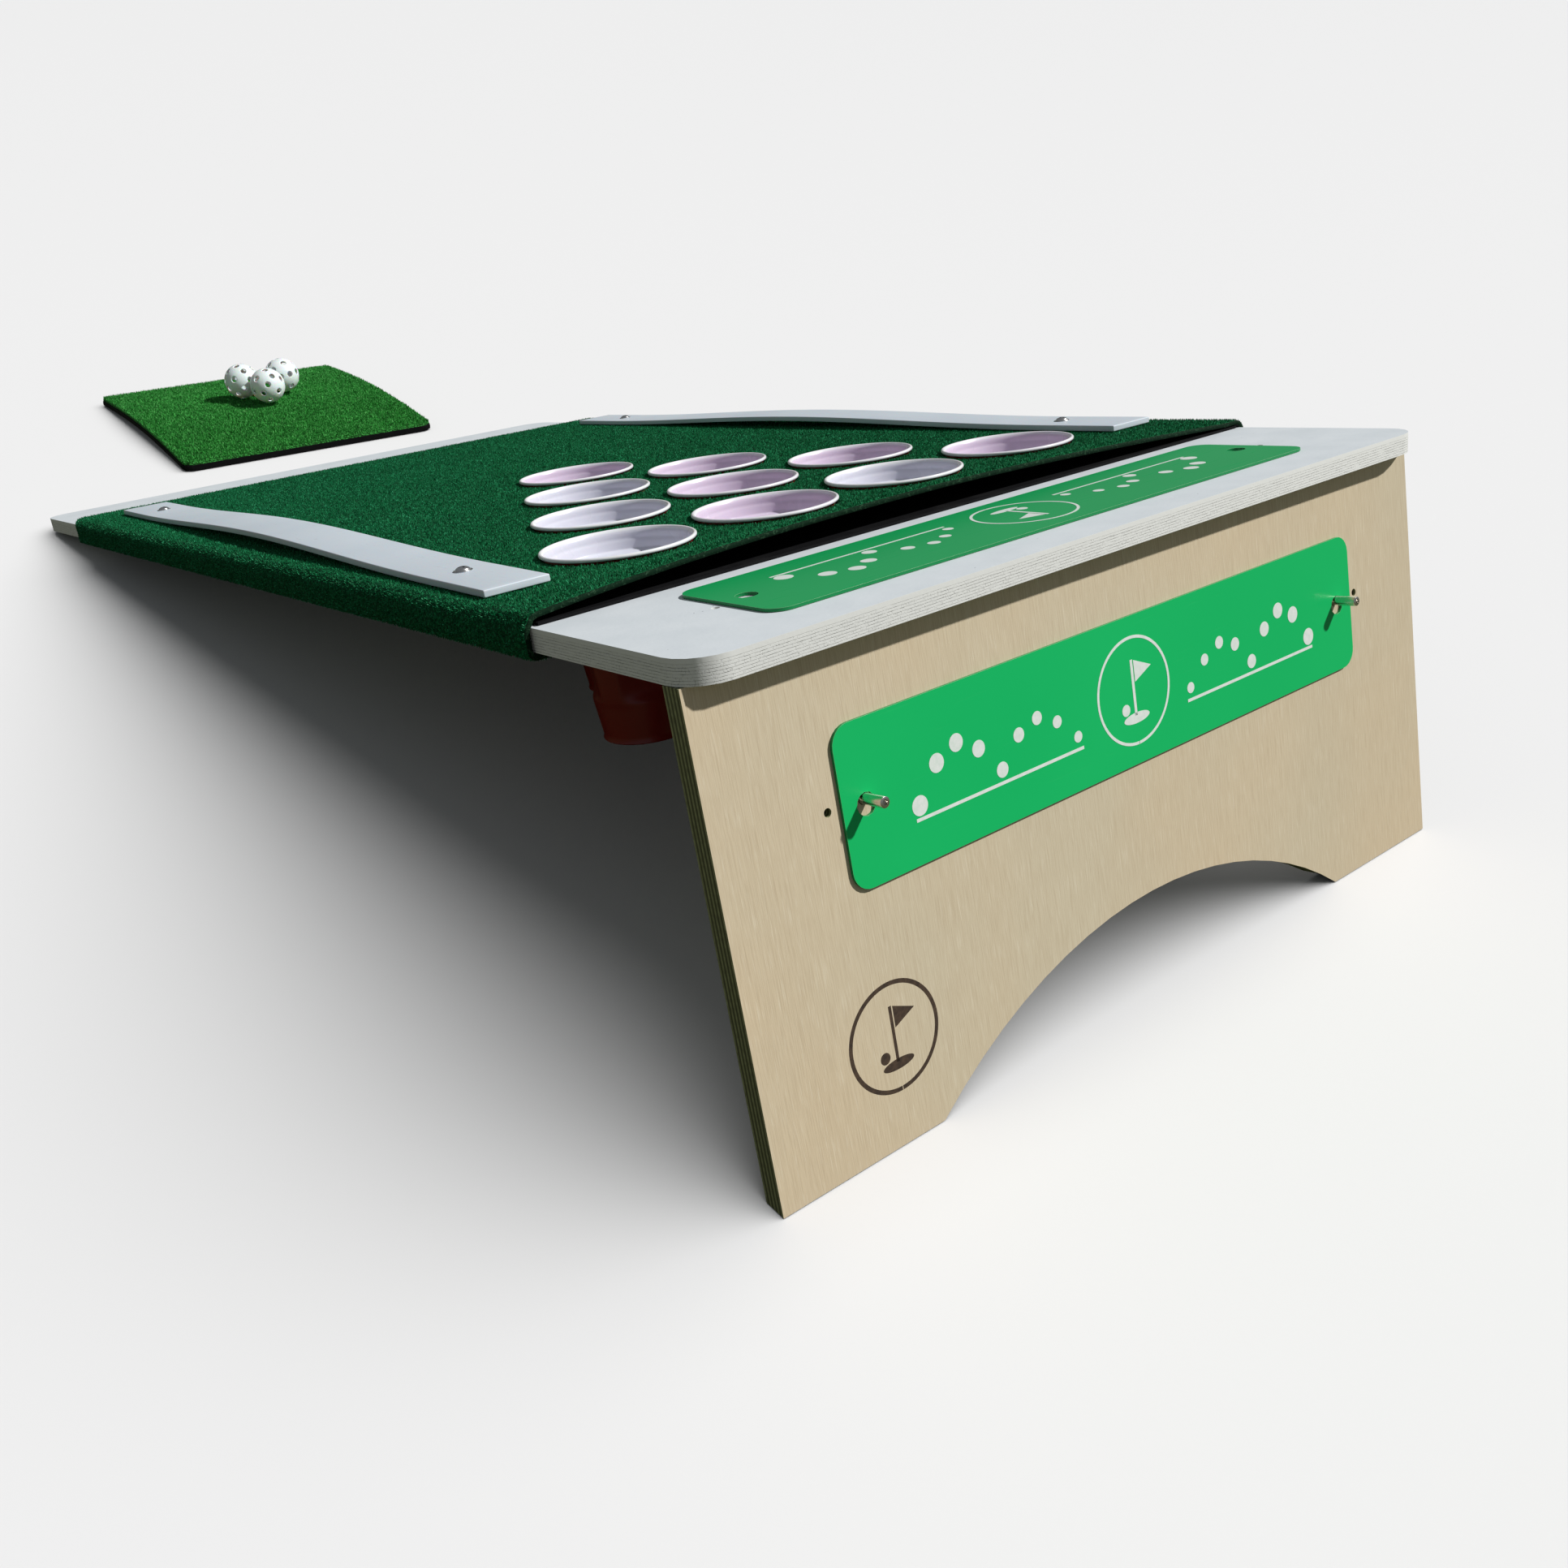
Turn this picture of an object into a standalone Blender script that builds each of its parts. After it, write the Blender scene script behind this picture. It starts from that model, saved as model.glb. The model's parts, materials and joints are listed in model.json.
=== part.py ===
"""Sloping target board with ten cups, folding leg and loose hitting mat with practice balls.

Board parts are modelled flat: x across the board, y from its raised edge to its low edge,
z up from its top face. The board_frame empty then sets the board at its slope.
"""

import math

import bmesh
import bpy

MM = 0.001
GAP = 0.3 * MM  # between touching pieces

# board
BOARD_WIDTH = 580 * MM
BOARD_LENGTH = 1154 * MM
BOARD_THICKNESS = 12.7 * MM
BOARD_CORNER = 22 * MM
HEADER_DEPTH = 136 * MM  # bare board at the raised edge
TAIL_DEPTH = 130 * MM  # bare board at the low edge

# turf and what lies under it
UNDERLAY_THICKNESS = 1.5 * MM
UNDERLAY_MARGIN = 4 * MM
TURF_THICKNESS = 4.0 * MM
TURF_SHOULDER = 2.4 * MM  # inner bend over the long edges
TURF_RETURN = 30 * MM  # tucked under the board
TURF_TUCK_BEND = 0.5 * MM
BULGE_HEIGHT = 11.4 * MM  # how far the raised edge of the turf bows off the board
BULGE_REACH = 60 * MM

# cups
CUP_ROWS = 4
CUP_PITCH = 111.8 * MM
CUP_ROW_STEP = 109 * MM
CUP_FIRST_ROW = 110 * MM  # from the turf's raised edge to the first row
CUP_HEIGHT = 118.5 * MM
CUP_RIM_RADIUS = 47.5 * MM
CUP_BEAD = 1.7 * MM
CUP_BASE_RADIUS = 28 * MM
CUP_WALL = 1.2 * MM
CUP_STEP_DEPTH = 26 * MM  # the stacking step, below the rim
CUP_STEP = 1.2 * MM
CUP_FOOT_RECESS = 3 * MM
CUP_CLEARANCE = 1.2 * MM
CUP_SEGMENTS = 20

# folding leg
LEG_INSET = 12 * MM
LEG_HEIGHT = 264.6 * MM  # along its outer face
LEG_THICKNESS = 12.7 * MM
LEG_KICK = math.radians(4.2)  # foot ahead of square to the board
ARCH_HALF_WIDTH = 181 * MM
ARCH_RISE = 62 * MM
ARCH_SEGMENTS = 20

# sign plates, their pins and the small holes beside them
PLATE_WIDTH = 430 * MM
PLATE_DEPTH = 84 * MM
PLATE_THICKNESS = 2.5 * MM
PLATE_CORNER = 11 * MM
PLATE_HOLE_RADIUS = 6 * MM
PIN_SPACING = 400 * MM
PIN_RADIUS = 3 * MM
PIN_STANDOUT = 16 * MM
PIN_SOCKET_RADIUS = 1.4 * MM
PIN_SOCKET_DEPTH = 2 * MM
PIN_DROP = 79.5 * MM  # pins below the leg's top
HEADER_PLATE_X = -3 * MM
HEADER_PLATE_Y = 74 * MM
HEADER_HOLE_RADIUS = 4.5 * MM
SIDE_HOLE_SPACING = 445 * MM
SIDE_HOLE_RADIUS = 2.3 * MM
HOLE_CLEARANCE = 0.3 * MM

# side rails: name, x of the middle, skew
RAILS = (("left", -250 * MM, math.radians(-1.6)), ("right", 256 * MM, math.radians(-0.8)))
RAIL_WIDTH = 40 * MM
RAIL_THICKNESS = 4.2 * MM
RAIL_BOW = 5.5 * MM
RAIL_START = 64 * MM  # from the turf's raised edge
RAIL_STOP = 56 * MM  # short of the turf's low edge
RAIL_LENGTH = BOARD_LENGTH - HEADER_DEPTH - TAIL_DEPTH - RAIL_START - RAIL_STOP
RAIL_SCREW_INSET = 67 * MM
RAIL_SEGMENTS = 24
RAIL_SCREW_RADIUS = 2 * MM
RAIL_SCREW_HEAD = 5.2 * MM
RAIL_SCREW_HEAD_HEIGHT = 2.6 * MM
RAIL_SCREW_BITE = 9 * MM  # into the board

# butt hinges
HINGE_X = 200 * MM
HINGE_LENGTH = 64 * MM
LEAF_WIDTH = 26 * MM
LEAF_THICKNESS = 1.5 * MM
TAB_THICKNESS = 1.1 * MM
KNUCKLE_RADIUS = 3.2 * MM
HINGE_PIN_RADIUS = 1.5 * MM
HINGE_SCREW_RADIUS = 1.5 * MM
HINGE_SCREW_HEAD = 3.4 * MM
HINGE_SCREW_HEAD_HEIGHT = 1.2 * MM
HINGE_SCREW_LENGTH = 9 * MM
HINGE_SCREW_SPACING = 44 * MM
HINGE_SCREW_OUT = 15 * MM  # from the hinge pin

# loose mat and balls
MAT_WIDTH = 304 * MM
MAT_LENGTH = 340 * MM
MAT_BASE = 6.5 * MM
MAT_TURF = 6 * MM
MAT_CROWN = 8 * MM
MAT_X = 45 * MM
MAT_Y = 1456 * MM  # from the foot of the leg to the mat's middle
MAT_TURN = math.radians(-2.3)
MAT_ROWS = 10
BALL_RADIUS = 21 * MM
BALL_WALL = 1.5 * MM
BALL_HOLE_RADIUS = 3.1 * MM
BALLS = ((-12 * MM, 27 * MM, 20), (7 * MM, -11.5 * MM, 75), (40.5 * MM, 29 * MM, 140))

ROUND = 12  # sides of small round pieces
SCREW_SIDES = 8

TURF_TOP = 2 * GAP + UNDERLAY_THICKNESS + TURF_THICKNESS
TURF_LENGTH = BOARD_LENGTH - HEADER_DEPTH - TAIL_DEPTH
CUP_MOUTH_RADIUS = CUP_RIM_RADIUS - 1.5 * CUP_BEAD
CUP_HOLE_RADIUS = CUP_MOUTH_RADIUS + CUP_CLEARANCE
CUP_Z = TURF_TOP + GAP + CUP_BEAD

FOOT_Y = LEG_INSET - LEG_HEIGHT * math.sin(LEG_KICK)
FOOT_Z = -BOARD_THICKNESS - LEG_HEIGHT * math.cos(LEG_KICK)
SLOPE = math.atan2(-BOARD_THICKNESS - FOOT_Z, BOARD_LENGTH - FOOT_Y)

# the hinge pin, behind the leg and under the board
PIVOT_Z = -BOARD_THICKNESS - GAP - KNUCKLE_RADIUS
PIVOT_BACK = LEG_THICKNESS + GAP + KNUCKLE_RADIUS  # from the leg's outer face
PIVOT_DOWN = (GAP + KNUCKLE_RADIUS - PIVOT_BACK * math.sin(LEG_KICK)) / math.cos(LEG_KICK)
PIVOT_Y = LEG_INSET + PIVOT_BACK * math.cos(LEG_KICK) - PIVOT_DOWN * math.sin(LEG_KICK)

MAT_REACH = (
    MAT_Y
    + MAT_LENGTH / 2 * math.cos(MAT_TURN)
    + MAT_WIDTH / 2 * abs(math.sin(MAT_TURN))
)


# ---- scene, materials and small helpers


def clear_scene():
    for item in list(bpy.data.objects):
        bpy.data.objects.remove(item, do_unlink=True)


def new_collection(name):
    collection = bpy.data.collections.new(name)
    bpy.context.scene.collection.children.link(collection)
    return collection


def material(name, colour, roughness, metallic=0.0):
    made = bpy.data.materials.new(name)
    made.use_nodes = True
    shader = made.node_tree.nodes["Principled BSDF"]
    shader.inputs["Base Color"].default_value = (*colour, 1.0)
    shader.inputs["Roughness"].default_value = roughness
    shader.inputs["Metallic"].default_value = metallic
    return made


def empty(name, location=(0, 0, 0), rotation=(0, 0, 0), parent=None):
    made = bpy.data.objects.new(name, None)
    made.empty_display_size = 0.02
    made.location = location
    made.rotation_euler = rotation
    made.parent = parent
    PARTS.objects.link(made)
    return made


def add_object(name, mesh, location=(0, 0, 0), rotation=(0, 0, 0), parent=None, finish=None):
    """Links a mesh as one sub-part, or as a cutter when it has no finish."""
    made = bpy.data.objects.new(name, mesh)
    made.location = location
    made.rotation_euler = rotation
    made.parent = parent
    if finish is None:
        CUTTERS.objects.link(made)
        made.hide_render = True
        made.display_type = "WIRE"
    else:
        PARTS.objects.link(made)
        mesh.materials.clear()
        mesh.materials.append(finish)
    return made


def cut(target, cutter, operation="DIFFERENCE"):
    modifier = target.modifiers.new(cutter.name, "BOOLEAN")
    modifier.operation = operation
    modifier.object = cutter


def smooth(mesh, angle=40):
    mesh.shade_smooth()
    mesh.set_sharp_from_angle(angle=math.radians(angle))


def arc(centre, radius, start, end, steps):
    """Points on a circle from one angle to another, in degrees."""
    turns = [math.radians(start + (end - start) * i / steps) for i in range(steps + 1)]
    return [(centre[0] + radius * math.cos(t), centre[1] + radius * math.sin(t)) for t in turns]


def circle(centre, radius, steps=ROUND):
    return arc(centre, radius, 0, 360, steps)[:-1]


def rounded_rectangle(width, depth, radius, steps=6):
    x = width / 2 - radius
    y = depth / 2 - radius
    corners = ((x, y, 0), (-x, y, 90), (-x, -y, 180), (x, -y, 270))
    return [point for cx, cy, turn in corners for point in arc((cx, cy), radius, turn, turn + 90, steps)]


def slab_mesh(name, outlines, thickness):
    """A flat piece from closed outlines, the first outside and the rest holes, centred on z = 0."""
    curve = bpy.data.curves.new(name, "CURVE")
    curve.dimensions = "2D"
    curve.fill_mode = "BOTH"
    curve.extrude = thickness / 2
    for outline in outlines:
        spline = curve.splines.new("POLY")
        spline.points.add(len(outline) - 1)
        for point, (x, y) in zip(spline.points, outline):
            point.co = (x, y, 0, 1)
        spline.use_cyclic_u = True
    holder = bpy.data.objects.new(name, curve)
    bpy.context.scene.collection.objects.link(holder)
    graph = bpy.context.evaluated_depsgraph_get()
    mesh = bpy.data.meshes.new_from_object(holder.evaluated_get(graph))
    mesh.name = name
    bpy.data.objects.remove(holder)
    bpy.data.curves.remove(curve)
    made = bmesh.new()
    made.from_mesh(mesh)
    bmesh.ops.remove_doubles(made, verts=made.verts, dist=1e-6)
    bmesh.ops.recalc_face_normals(made, faces=made.faces)
    made.to_mesh(mesh)
    made.free()
    return mesh


def move_mesh(mesh, place):
    """Moves each point by a function of its place."""
    for vertex in mesh.vertices:
        vertex.co = place(*vertex.co)
    return mesh


def box_mesh(name, low, high):
    made = bmesh.new()
    bmesh.ops.create_cube(made, size=1)
    for vertex in made.verts:
        vertex.co = [low[i] if vertex.co[i] < 0 else high[i] for i in range(3)]
    mesh = bpy.data.meshes.new(name)
    made.to_mesh(mesh)
    made.free()
    return mesh


def cylinders_mesh(name, places, radius, low, high, steps=ROUND):
    """Upright cylinders at (x, y) places, in one mesh."""
    made = bmesh.new()
    for x, y in places:
        ring = bmesh.ops.create_cone(
            made, cap_ends=True, segments=steps, radius1=radius, radius2=radius, depth=high - low
        )
        bmesh.ops.translate(made, verts=ring["verts"], vec=(x, y, (low + high) / 2))
    mesh = bpy.data.meshes.new(name)
    made.to_mesh(mesh)
    made.free()
    return mesh


def turn(target, steps):
    """Turns an open profile about z."""
    screw = target.modifiers.new("turned", "SCREW")
    screw.steps = steps
    screw.render_steps = steps
    screw.use_merge_vertices = True
    screw.merge_threshold = 1e-5
    screw.use_smooth_shade = True


def profile_mesh(name, points):
    mesh = bpy.data.meshes.new(name)
    edges = [(i, i + 1) for i in range(len(points) - 1)]
    mesh.from_pydata([(r, 0, z) for r, z in points], edges, [])
    return mesh


def grid_mesh(name, columns, rows, place):
    """A sheet of columns by rows of faces, each point placed by a function of (u, v) in 0..1."""
    made = bmesh.new()
    bmesh.ops.create_grid(made, x_segments=columns, y_segments=rows, size=0.5)
    for vertex in made.verts:
        vertex.co = place(vertex.co.x + 0.5, vertex.co.y + 0.5)
    bmesh.ops.recalc_face_normals(made, faces=made.faces)
    mesh = bpy.data.meshes.new(name)
    made.to_mesh(mesh)
    made.free()
    return mesh


def thicken(target, thickness):
    """Gives a sheet its thickness on the side that its faces point to."""
    solid = target.modifiers.new("thickness", "SOLIDIFY")
    solid.thickness = thickness
    solid.offset = 1
    solid.use_even_offset = True


# ---- board, underlay and turf


def cup_places():
    """(x, y) of each cup: rows of four, three, two and one away from the raised edge."""
    places = []
    for row in range(CUP_ROWS):
        count = CUP_ROWS - row
        y = HEADER_DEPTH + CUP_FIRST_ROW + row * CUP_ROW_STEP
        places += [((i - (count - 1) / 2) * CUP_PITCH, y) for i in range(count)]
    return places


def rail_screw_places():
    """Screw name to its (x, y) on the board, at both ends of each rail."""
    places = {}
    middle = HEADER_DEPTH + RAIL_START + RAIL_LENGTH / 2
    reach = RAIL_LENGTH / 2 - RAIL_SCREW_INSET
    for side, x, skew in RAILS:
        for end, way in (("near", -1), ("far", 1)):
            along = way * reach
            place = (x - along * math.sin(skew), middle + along * math.cos(skew))
            places[f"{side}_{end}"] = place
    return places


def board_cutters():
    low = -BOARD_THICKNESS - 5 * MM
    high = TURF_TOP + BULGE_HEIGHT + 5 * MM
    cup_cutter = cylinders_mesh("cup_holes", cup_places(), CUP_HOLE_RADIUS, low, high, CUP_SEGMENTS)
    screws = rail_screw_places().values()
    radius = RAIL_SCREW_RADIUS + HOLE_CLEARANCE
    screw_cutter = cylinders_mesh("rail_screw_holes", screws, radius, -RAIL_SCREW_BITE - GAP, high, 12)
    return (
        add_object("cup_hole_cutter", cup_cutter, parent=BOARD),
        add_object("rail_screw_hole_cutter", screw_cutter, parent=BOARD),
    )


def hinge_screw_offsets():
    return [side * HINGE_X + way * HINGE_SCREW_SPACING / 2 for side in (-1, 1) for way in (-1, 1)]


def make_board(shared_cutters):
    outline = rounded_rectangle(BOARD_WIDTH, BOARD_LENGTH, BOARD_CORNER, 5)
    mesh = slab_mesh("base_board", [outline], BOARD_THICKNESS)
    middle = (0, BOARD_LENGTH / 2, -BOARD_THICKNESS / 2)
    board = add_object("base_board", mesh, middle, parent=BOARD, finish=PAINTED_WOOD)
    for cutter in shared_cutters:
        cut(board, cutter)

    low = -BOARD_THICKNESS - MM
    pins = [(HEADER_PLATE_X + way * PIN_SPACING / 2, HEADER_PLATE_Y) for way in (-1, 1)]
    small = [(way * SIDE_HOLE_SPACING / 2, HEADER_PLATE_Y) for way in (-1, 1)]
    screws = [(x, PIVOT_Y + HINGE_SCREW_OUT) for x in hinge_screw_offsets()]
    top = -BOARD_THICKNESS + HINGE_SCREW_LENGTH + GAP
    holes = (
        ("header_pin_holes", pins, HEADER_HOLE_RADIUS, MM),
        ("header_side_holes", small, SIDE_HOLE_RADIUS, MM),
        ("board_hinge_screw_holes", screws, HINGE_SCREW_RADIUS + HOLE_CLEARANCE, top),
    )
    for name, places, radius, high in holes:
        cut(board, add_object(name, cylinders_mesh(name, places, radius, low, high, 12), parent=BOARD))
    return board


def make_underlay(shared_cutters):
    low = (-BOARD_WIDTH / 2 + UNDERLAY_MARGIN, HEADER_DEPTH, GAP)
    high = (-low[0], HEADER_DEPTH + TURF_LENGTH, GAP + UNDERLAY_THICKNESS)
    underlay = add_object(
        "underlay_sheet", box_mesh("underlay_sheet", low, high), parent=BOARD, finish=BLACK_RUBBER
    )
    for cutter in shared_cutters:
        cut(underlay, cutter)


def turf_section():
    """(x, z) along the turf's inner face, from under the left edge, over the board, to the right."""
    side = BOARD_WIDTH / 2 + GAP
    top = TURF_TOP - TURF_THICKNESS
    under = -BOARD_THICKNESS - GAP
    bend = TURF_TUCK_BEND
    left = [(-side + TURF_RETURN, under)]
    left += arc((-side + bend, under + bend), bend, 270, 180, 2)
    left += arc((-side + TURF_SHOULDER, top - TURF_SHOULDER), TURF_SHOULDER, 180, 90, 4)
    reach = side - TURF_SHOULDER
    flat = [(-reach + 2 * reach * i / 20, top) for i in range(1, 20)]
    right = [(-x, z) for x, z in reversed(left)]
    return left + flat + right


def bulge(x, y):
    """How far the turf bows off the board: a parabola across, dying away from the raised edge."""
    reach = BOARD_WIDTH / 2 + GAP - TURF_SHOULDER
    across = max(0.0, 1 - (x / reach) ** 2)
    along = min(1.0, (y - HEADER_DEPTH) / BULGE_REACH)
    return BULGE_HEIGHT * across * math.cos(along * math.pi / 2) ** 2


def make_turf(shared_cutters):
    section = turf_section()
    rows = [HEADER_DEPTH + BULGE_REACH * i / 6 for i in range(7)] + [HEADER_DEPTH + TURF_LENGTH]
    columns = len(section) - 1
    top = TURF_TOP - TURF_THICKNESS

    def place(u, v):
        x, z = section[round(u * columns)]
        y = rows[round(v * (len(rows) - 1))]
        return (x, y, z + bulge(x, y) if z > top - 0.01 * MM else z)

    mesh = grid_mesh("turf_cover", columns, len(rows) - 1, place)
    bend_out(mesh)
    turf = add_object("turf_cover", mesh, parent=BOARD, finish=DARK_TURF)
    thicken(turf, TURF_THICKNESS)
    for cutter in shared_cutters:
        cut(turf, cutter)


def bend_out(mesh):
    """Turns a sheet's faces over if those on its top point down."""
    highest = max(mesh.polygons, key=lambda face: face.center.z)
    if highest.normal.z < 0:
        mesh.flip_normals()


# ---- cups


def cup_profile():
    """(radius, z) from the middle of the floor, up the inside, over the bead and down the outside."""
    mouth = CUP_MOUTH_RADIUS
    bottom = CUP_BEAD - CUP_HEIGHT

    def outer(z):
        return CUP_BASE_RADIUS + (mouth - CUP_STEP - CUP_BASE_RADIUS) * (z - bottom) / (-bottom)

    floor = bottom + CUP_FOOT_RECESS
    inside = [
        (0, floor + CUP_WALL),
        (outer(floor) - CUP_WALL, floor + CUP_WALL),
        (outer(-CUP_STEP_DEPTH) - CUP_WALL, -CUP_STEP_DEPTH),
        (outer(-CUP_STEP_DEPTH) - CUP_WALL + CUP_STEP, -CUP_STEP_DEPTH + CUP_STEP),
        (mouth - CUP_WALL, 0),
    ]
    bead = arc((CUP_RIM_RADIUS - CUP_BEAD, 0), CUP_BEAD, 150, -90, 4)
    outside = [
        (mouth, -CUP_BEAD),
        (outer(-CUP_STEP_DEPTH) + CUP_STEP, -CUP_STEP_DEPTH),
        (outer(-CUP_STEP_DEPTH), -CUP_STEP_DEPTH - CUP_STEP),
        (CUP_BASE_RADIUS, bottom),
        (CUP_BASE_RADIUS - CUP_WALL, bottom),
        (outer(floor) - CUP_WALL, floor),
        (0, floor),
    ]
    return inside + bead + outside


def make_cups():
    mesh = profile_mesh("cup", cup_profile())
    for number, (x, y) in enumerate(cup_places(), 1):
        cup = add_object(f"cup_{number:02d}", mesh, (x, y, CUP_Z), parent=BOARD, finish=RED_CUP)
        turn(cup, CUP_SEGMENTS)


# ---- rails and their screws


def rail_lift(along):
    """Height of the rail's underside over its ends: flat outside the screws, bowed between."""
    reach = RAIL_LENGTH / 2 - RAIL_SCREW_INSET
    share = min(1.0, abs(along) / reach)
    return RAIL_BOW * math.cos(share * math.pi / 2) ** 2


def make_rails(screw_cutter):
    middle = HEADER_DEPTH + RAIL_START + RAIL_LENGTH / 2

    def place(u, v):
        along = (v - 0.5) * RAIL_LENGTH
        return ((u - 0.5) * RAIL_WIDTH, along, rail_lift(along))

    for side, x, skew in RAILS:
        mesh = grid_mesh(f"side_rail_{side}", 1, RAIL_SEGMENTS, place)
        bend_out(mesh)
        rail = add_object(
            f"side_rail_{side}",
            mesh,
            (x, middle, TURF_TOP + GAP),
            (0, 0, skew),
            parent=BOARD,
            finish=WHITE_PLASTIC,
        )
        thicken(rail, RAIL_THICKNESS)
        cut(rail, screw_cutter)


def screw_profile(shank_radius, shank_length, head_radius, head_height):
    """(radius, z) of a domed screw whose head rests on z = 0."""
    dome = [
        (0, head_height),
        (head_radius * 0.6, head_height * 0.85),
        (head_radius * 0.95, head_height * 0.4),
        (head_radius, 0),
    ]
    point = shank_radius * 1.5
    shank = [(shank_radius, 0), (shank_radius, -shank_length + point), (0, -shank_length)]
    return dome + shank


def make_rail_screws():
    length = RAIL_THICKNESS + TURF_TOP + GAP + RAIL_SCREW_BITE
    profile = screw_profile(RAIL_SCREW_RADIUS, length, RAIL_SCREW_HEAD, RAIL_SCREW_HEAD_HEIGHT)
    mesh = profile_mesh("rail_screw", profile)
    height = TURF_TOP + GAP + RAIL_THICKNESS + GAP
    for name, (x, y) in rail_screw_places().items():
        screw = add_object(f"rail_screw_{name}", mesh, (x, y, height), parent=BOARD, finish=STEEL)
        turn(screw, SCREW_SIDES)


# ---- folding leg, in the frame of the hinge pin


def leg_outline():
    """(x, z) round the leg from its top left, with the arch between its two feet."""
    half = BOARD_WIDTH / 2
    radius = (ARCH_HALF_WIDTH**2 + ARCH_RISE**2) / (2 * ARCH_RISE)
    spread = math.degrees(math.asin(ARCH_HALF_WIDTH / radius))
    middle = (0, -LEG_HEIGHT + ARCH_RISE - radius)
    arch = arc(middle, radius, 90 + spread, 90 - spread, ARCH_SEGMENTS)
    return [(-half, 0), (-half, -LEG_HEIGHT)] + arch + [(half, -LEG_HEIGHT), (half, 0)]


def leg_to_pin(x, y, z):
    """From the leg's own frame (top edge of its outer face) to the hinge pin's."""
    return (x, y - PIVOT_BACK, z + PIVOT_DOWN)


def make_leg():
    """The top face lies against the board and the feet lie flat on the ground."""
    ground = SLOPE + LEG_KICK

    def place(x, z, y):
        y += LEG_THICKNESS / 2
        if z > -GAP:
            z = y * math.tan(LEG_KICK) - GAP / math.cos(LEG_KICK)
        elif z < -LEG_HEIGHT + GAP:
            z = -LEG_HEIGHT + y * math.tan(ground)
        return leg_to_pin(x, y, z)

    mesh = move_mesh(slab_mesh("leg_panel", [leg_outline()], LEG_THICKNESS), place)
    mesh.flip_normals()
    leg = add_object("leg_panel", mesh, parent=LEG, finish=BIRCH)

    upright = (math.radians(90), 0, 0)
    start = -LEG_THICKNESS - MM
    end = MM
    inner = -LEG_THICKNESS + HINGE_SCREW_LENGTH + GAP
    pins = [(way * PIN_SPACING / 2, -PIN_DROP) for way in (-1, 1)]
    small = [(way * SIDE_HOLE_SPACING / 2, -PIN_DROP) for way in (-1, 1)]
    screws = [(x, -PIVOT_DOWN - HINGE_SCREW_OUT) for x in hinge_screw_offsets()]
    holes = (
        ("leg_pin_holes", pins, PIN_RADIUS + HOLE_CLEARANCE, start, end),
        ("leg_side_holes", small, SIDE_HOLE_RADIUS, start, end),
        ("leg_hinge_screw_holes", screws, HINGE_SCREW_RADIUS + HOLE_CLEARANCE, start, inner),
    )
    for name, places, radius, low, high in holes:
        cutter = cylinders_mesh(name, places, radius, low, high, 12)
        cut(leg, add_object(name, cutter, leg_to_pin(0, 0, 0), upright, parent=LEG))


def pin_profile():
    """(radius, z) of a sign pin with a socket in its free end."""
    chamfer = 0.5 * MM
    back = -LEG_THICKNESS
    return [
        (0, PIN_STANDOUT - PIN_SOCKET_DEPTH),
        (PIN_SOCKET_RADIUS, PIN_STANDOUT - PIN_SOCKET_DEPTH),
        (PIN_SOCKET_RADIUS, PIN_STANDOUT),
        (PIN_RADIUS - chamfer, PIN_STANDOUT),
        (PIN_RADIUS, PIN_STANDOUT - chamfer),
        (PIN_RADIUS, back + chamfer),
        (PIN_RADIUS - chamfer, back),
        (0, back),
    ]


def make_sign_pins():
    mesh = profile_mesh("sign_pin", pin_profile())
    for side, way in (("left", -1), ("right", 1)):
        place = leg_to_pin(way * PIN_SPACING / 2, 0, -PIN_DROP)
        pin = add_object(
            f"sign_pin_{side}", mesh, place, (math.radians(90), 0, 0), parent=LEG, finish=STEEL
        )
        turn(pin, ROUND)


def plate_mesh(name):
    holes = [circle((way * PIN_SPACING / 2, 0), PLATE_HOLE_RADIUS) for way in (-1, 1)]
    outline = rounded_rectangle(PLATE_WIDTH, PLATE_DEPTH, PLATE_CORNER)
    return slab_mesh(name, [outline] + holes, PLATE_THICKNESS)


def make_plates():
    """One plate lies on the header, and its twin hangs on the leg's two pins."""
    lift = GAP + PLATE_THICKNESS / 2
    add_object(
        "header_sign_plate",
        plate_mesh("header_sign_plate"),
        (HEADER_PLATE_X, HEADER_PLATE_Y, lift),
        parent=BOARD,
        finish=GREEN_PLATE,
    )
    hang = PLATE_HOLE_RADIUS - PIN_RADIUS - GAP
    add_object(
        "leg_sign_plate",
        plate_mesh("leg_sign_plate"),
        leg_to_pin(0, -lift, -PIN_DROP - hang),
        (math.radians(90), 0, 0),
        parent=LEG,
        finish=GREEN_PLATE,
    )


# ---- hinges


def knuckle_mesh(name, start, end):
    """A rolled knuckle with its tab, seen along the pin: the leaf lies on +y, level with the top."""
    top = KNUCKLE_RADIUS - (LEAF_THICKNESS - TAB_THICKNESS) / 2
    low = top - TAB_THICKNESS
    first = math.degrees(math.asin(top / KNUCKLE_RADIUS))
    last = math.degrees(math.asin(low / KNUCKLE_RADIUS))
    tab = KNUCKLE_RADIUS + 3 * MM
    outline = arc((0, 0), KNUCKLE_RADIUS, first, 360 + last, 14)
    outline += [(tab, low), (tab, top)]
    bore = circle((0, 0), HINGE_PIN_RADIUS + HOLE_CLEARANCE, 8)
    mesh = slab_mesh(name, [outline, bore], end - start)
    middle = (start + end) / 2
    return move_mesh(mesh, lambda y, z, x: (x + middle, y, z))


def leaf_mesh(name):
    low = (-HINGE_LENGTH / 2, KNUCKLE_RADIUS + 0.5 * MM, KNUCKLE_RADIUS - LEAF_THICKNESS)
    return box_mesh(name, low, (HINGE_LENGTH / 2, LEAF_WIDTH, KNUCKLE_RADIUS))


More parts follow.
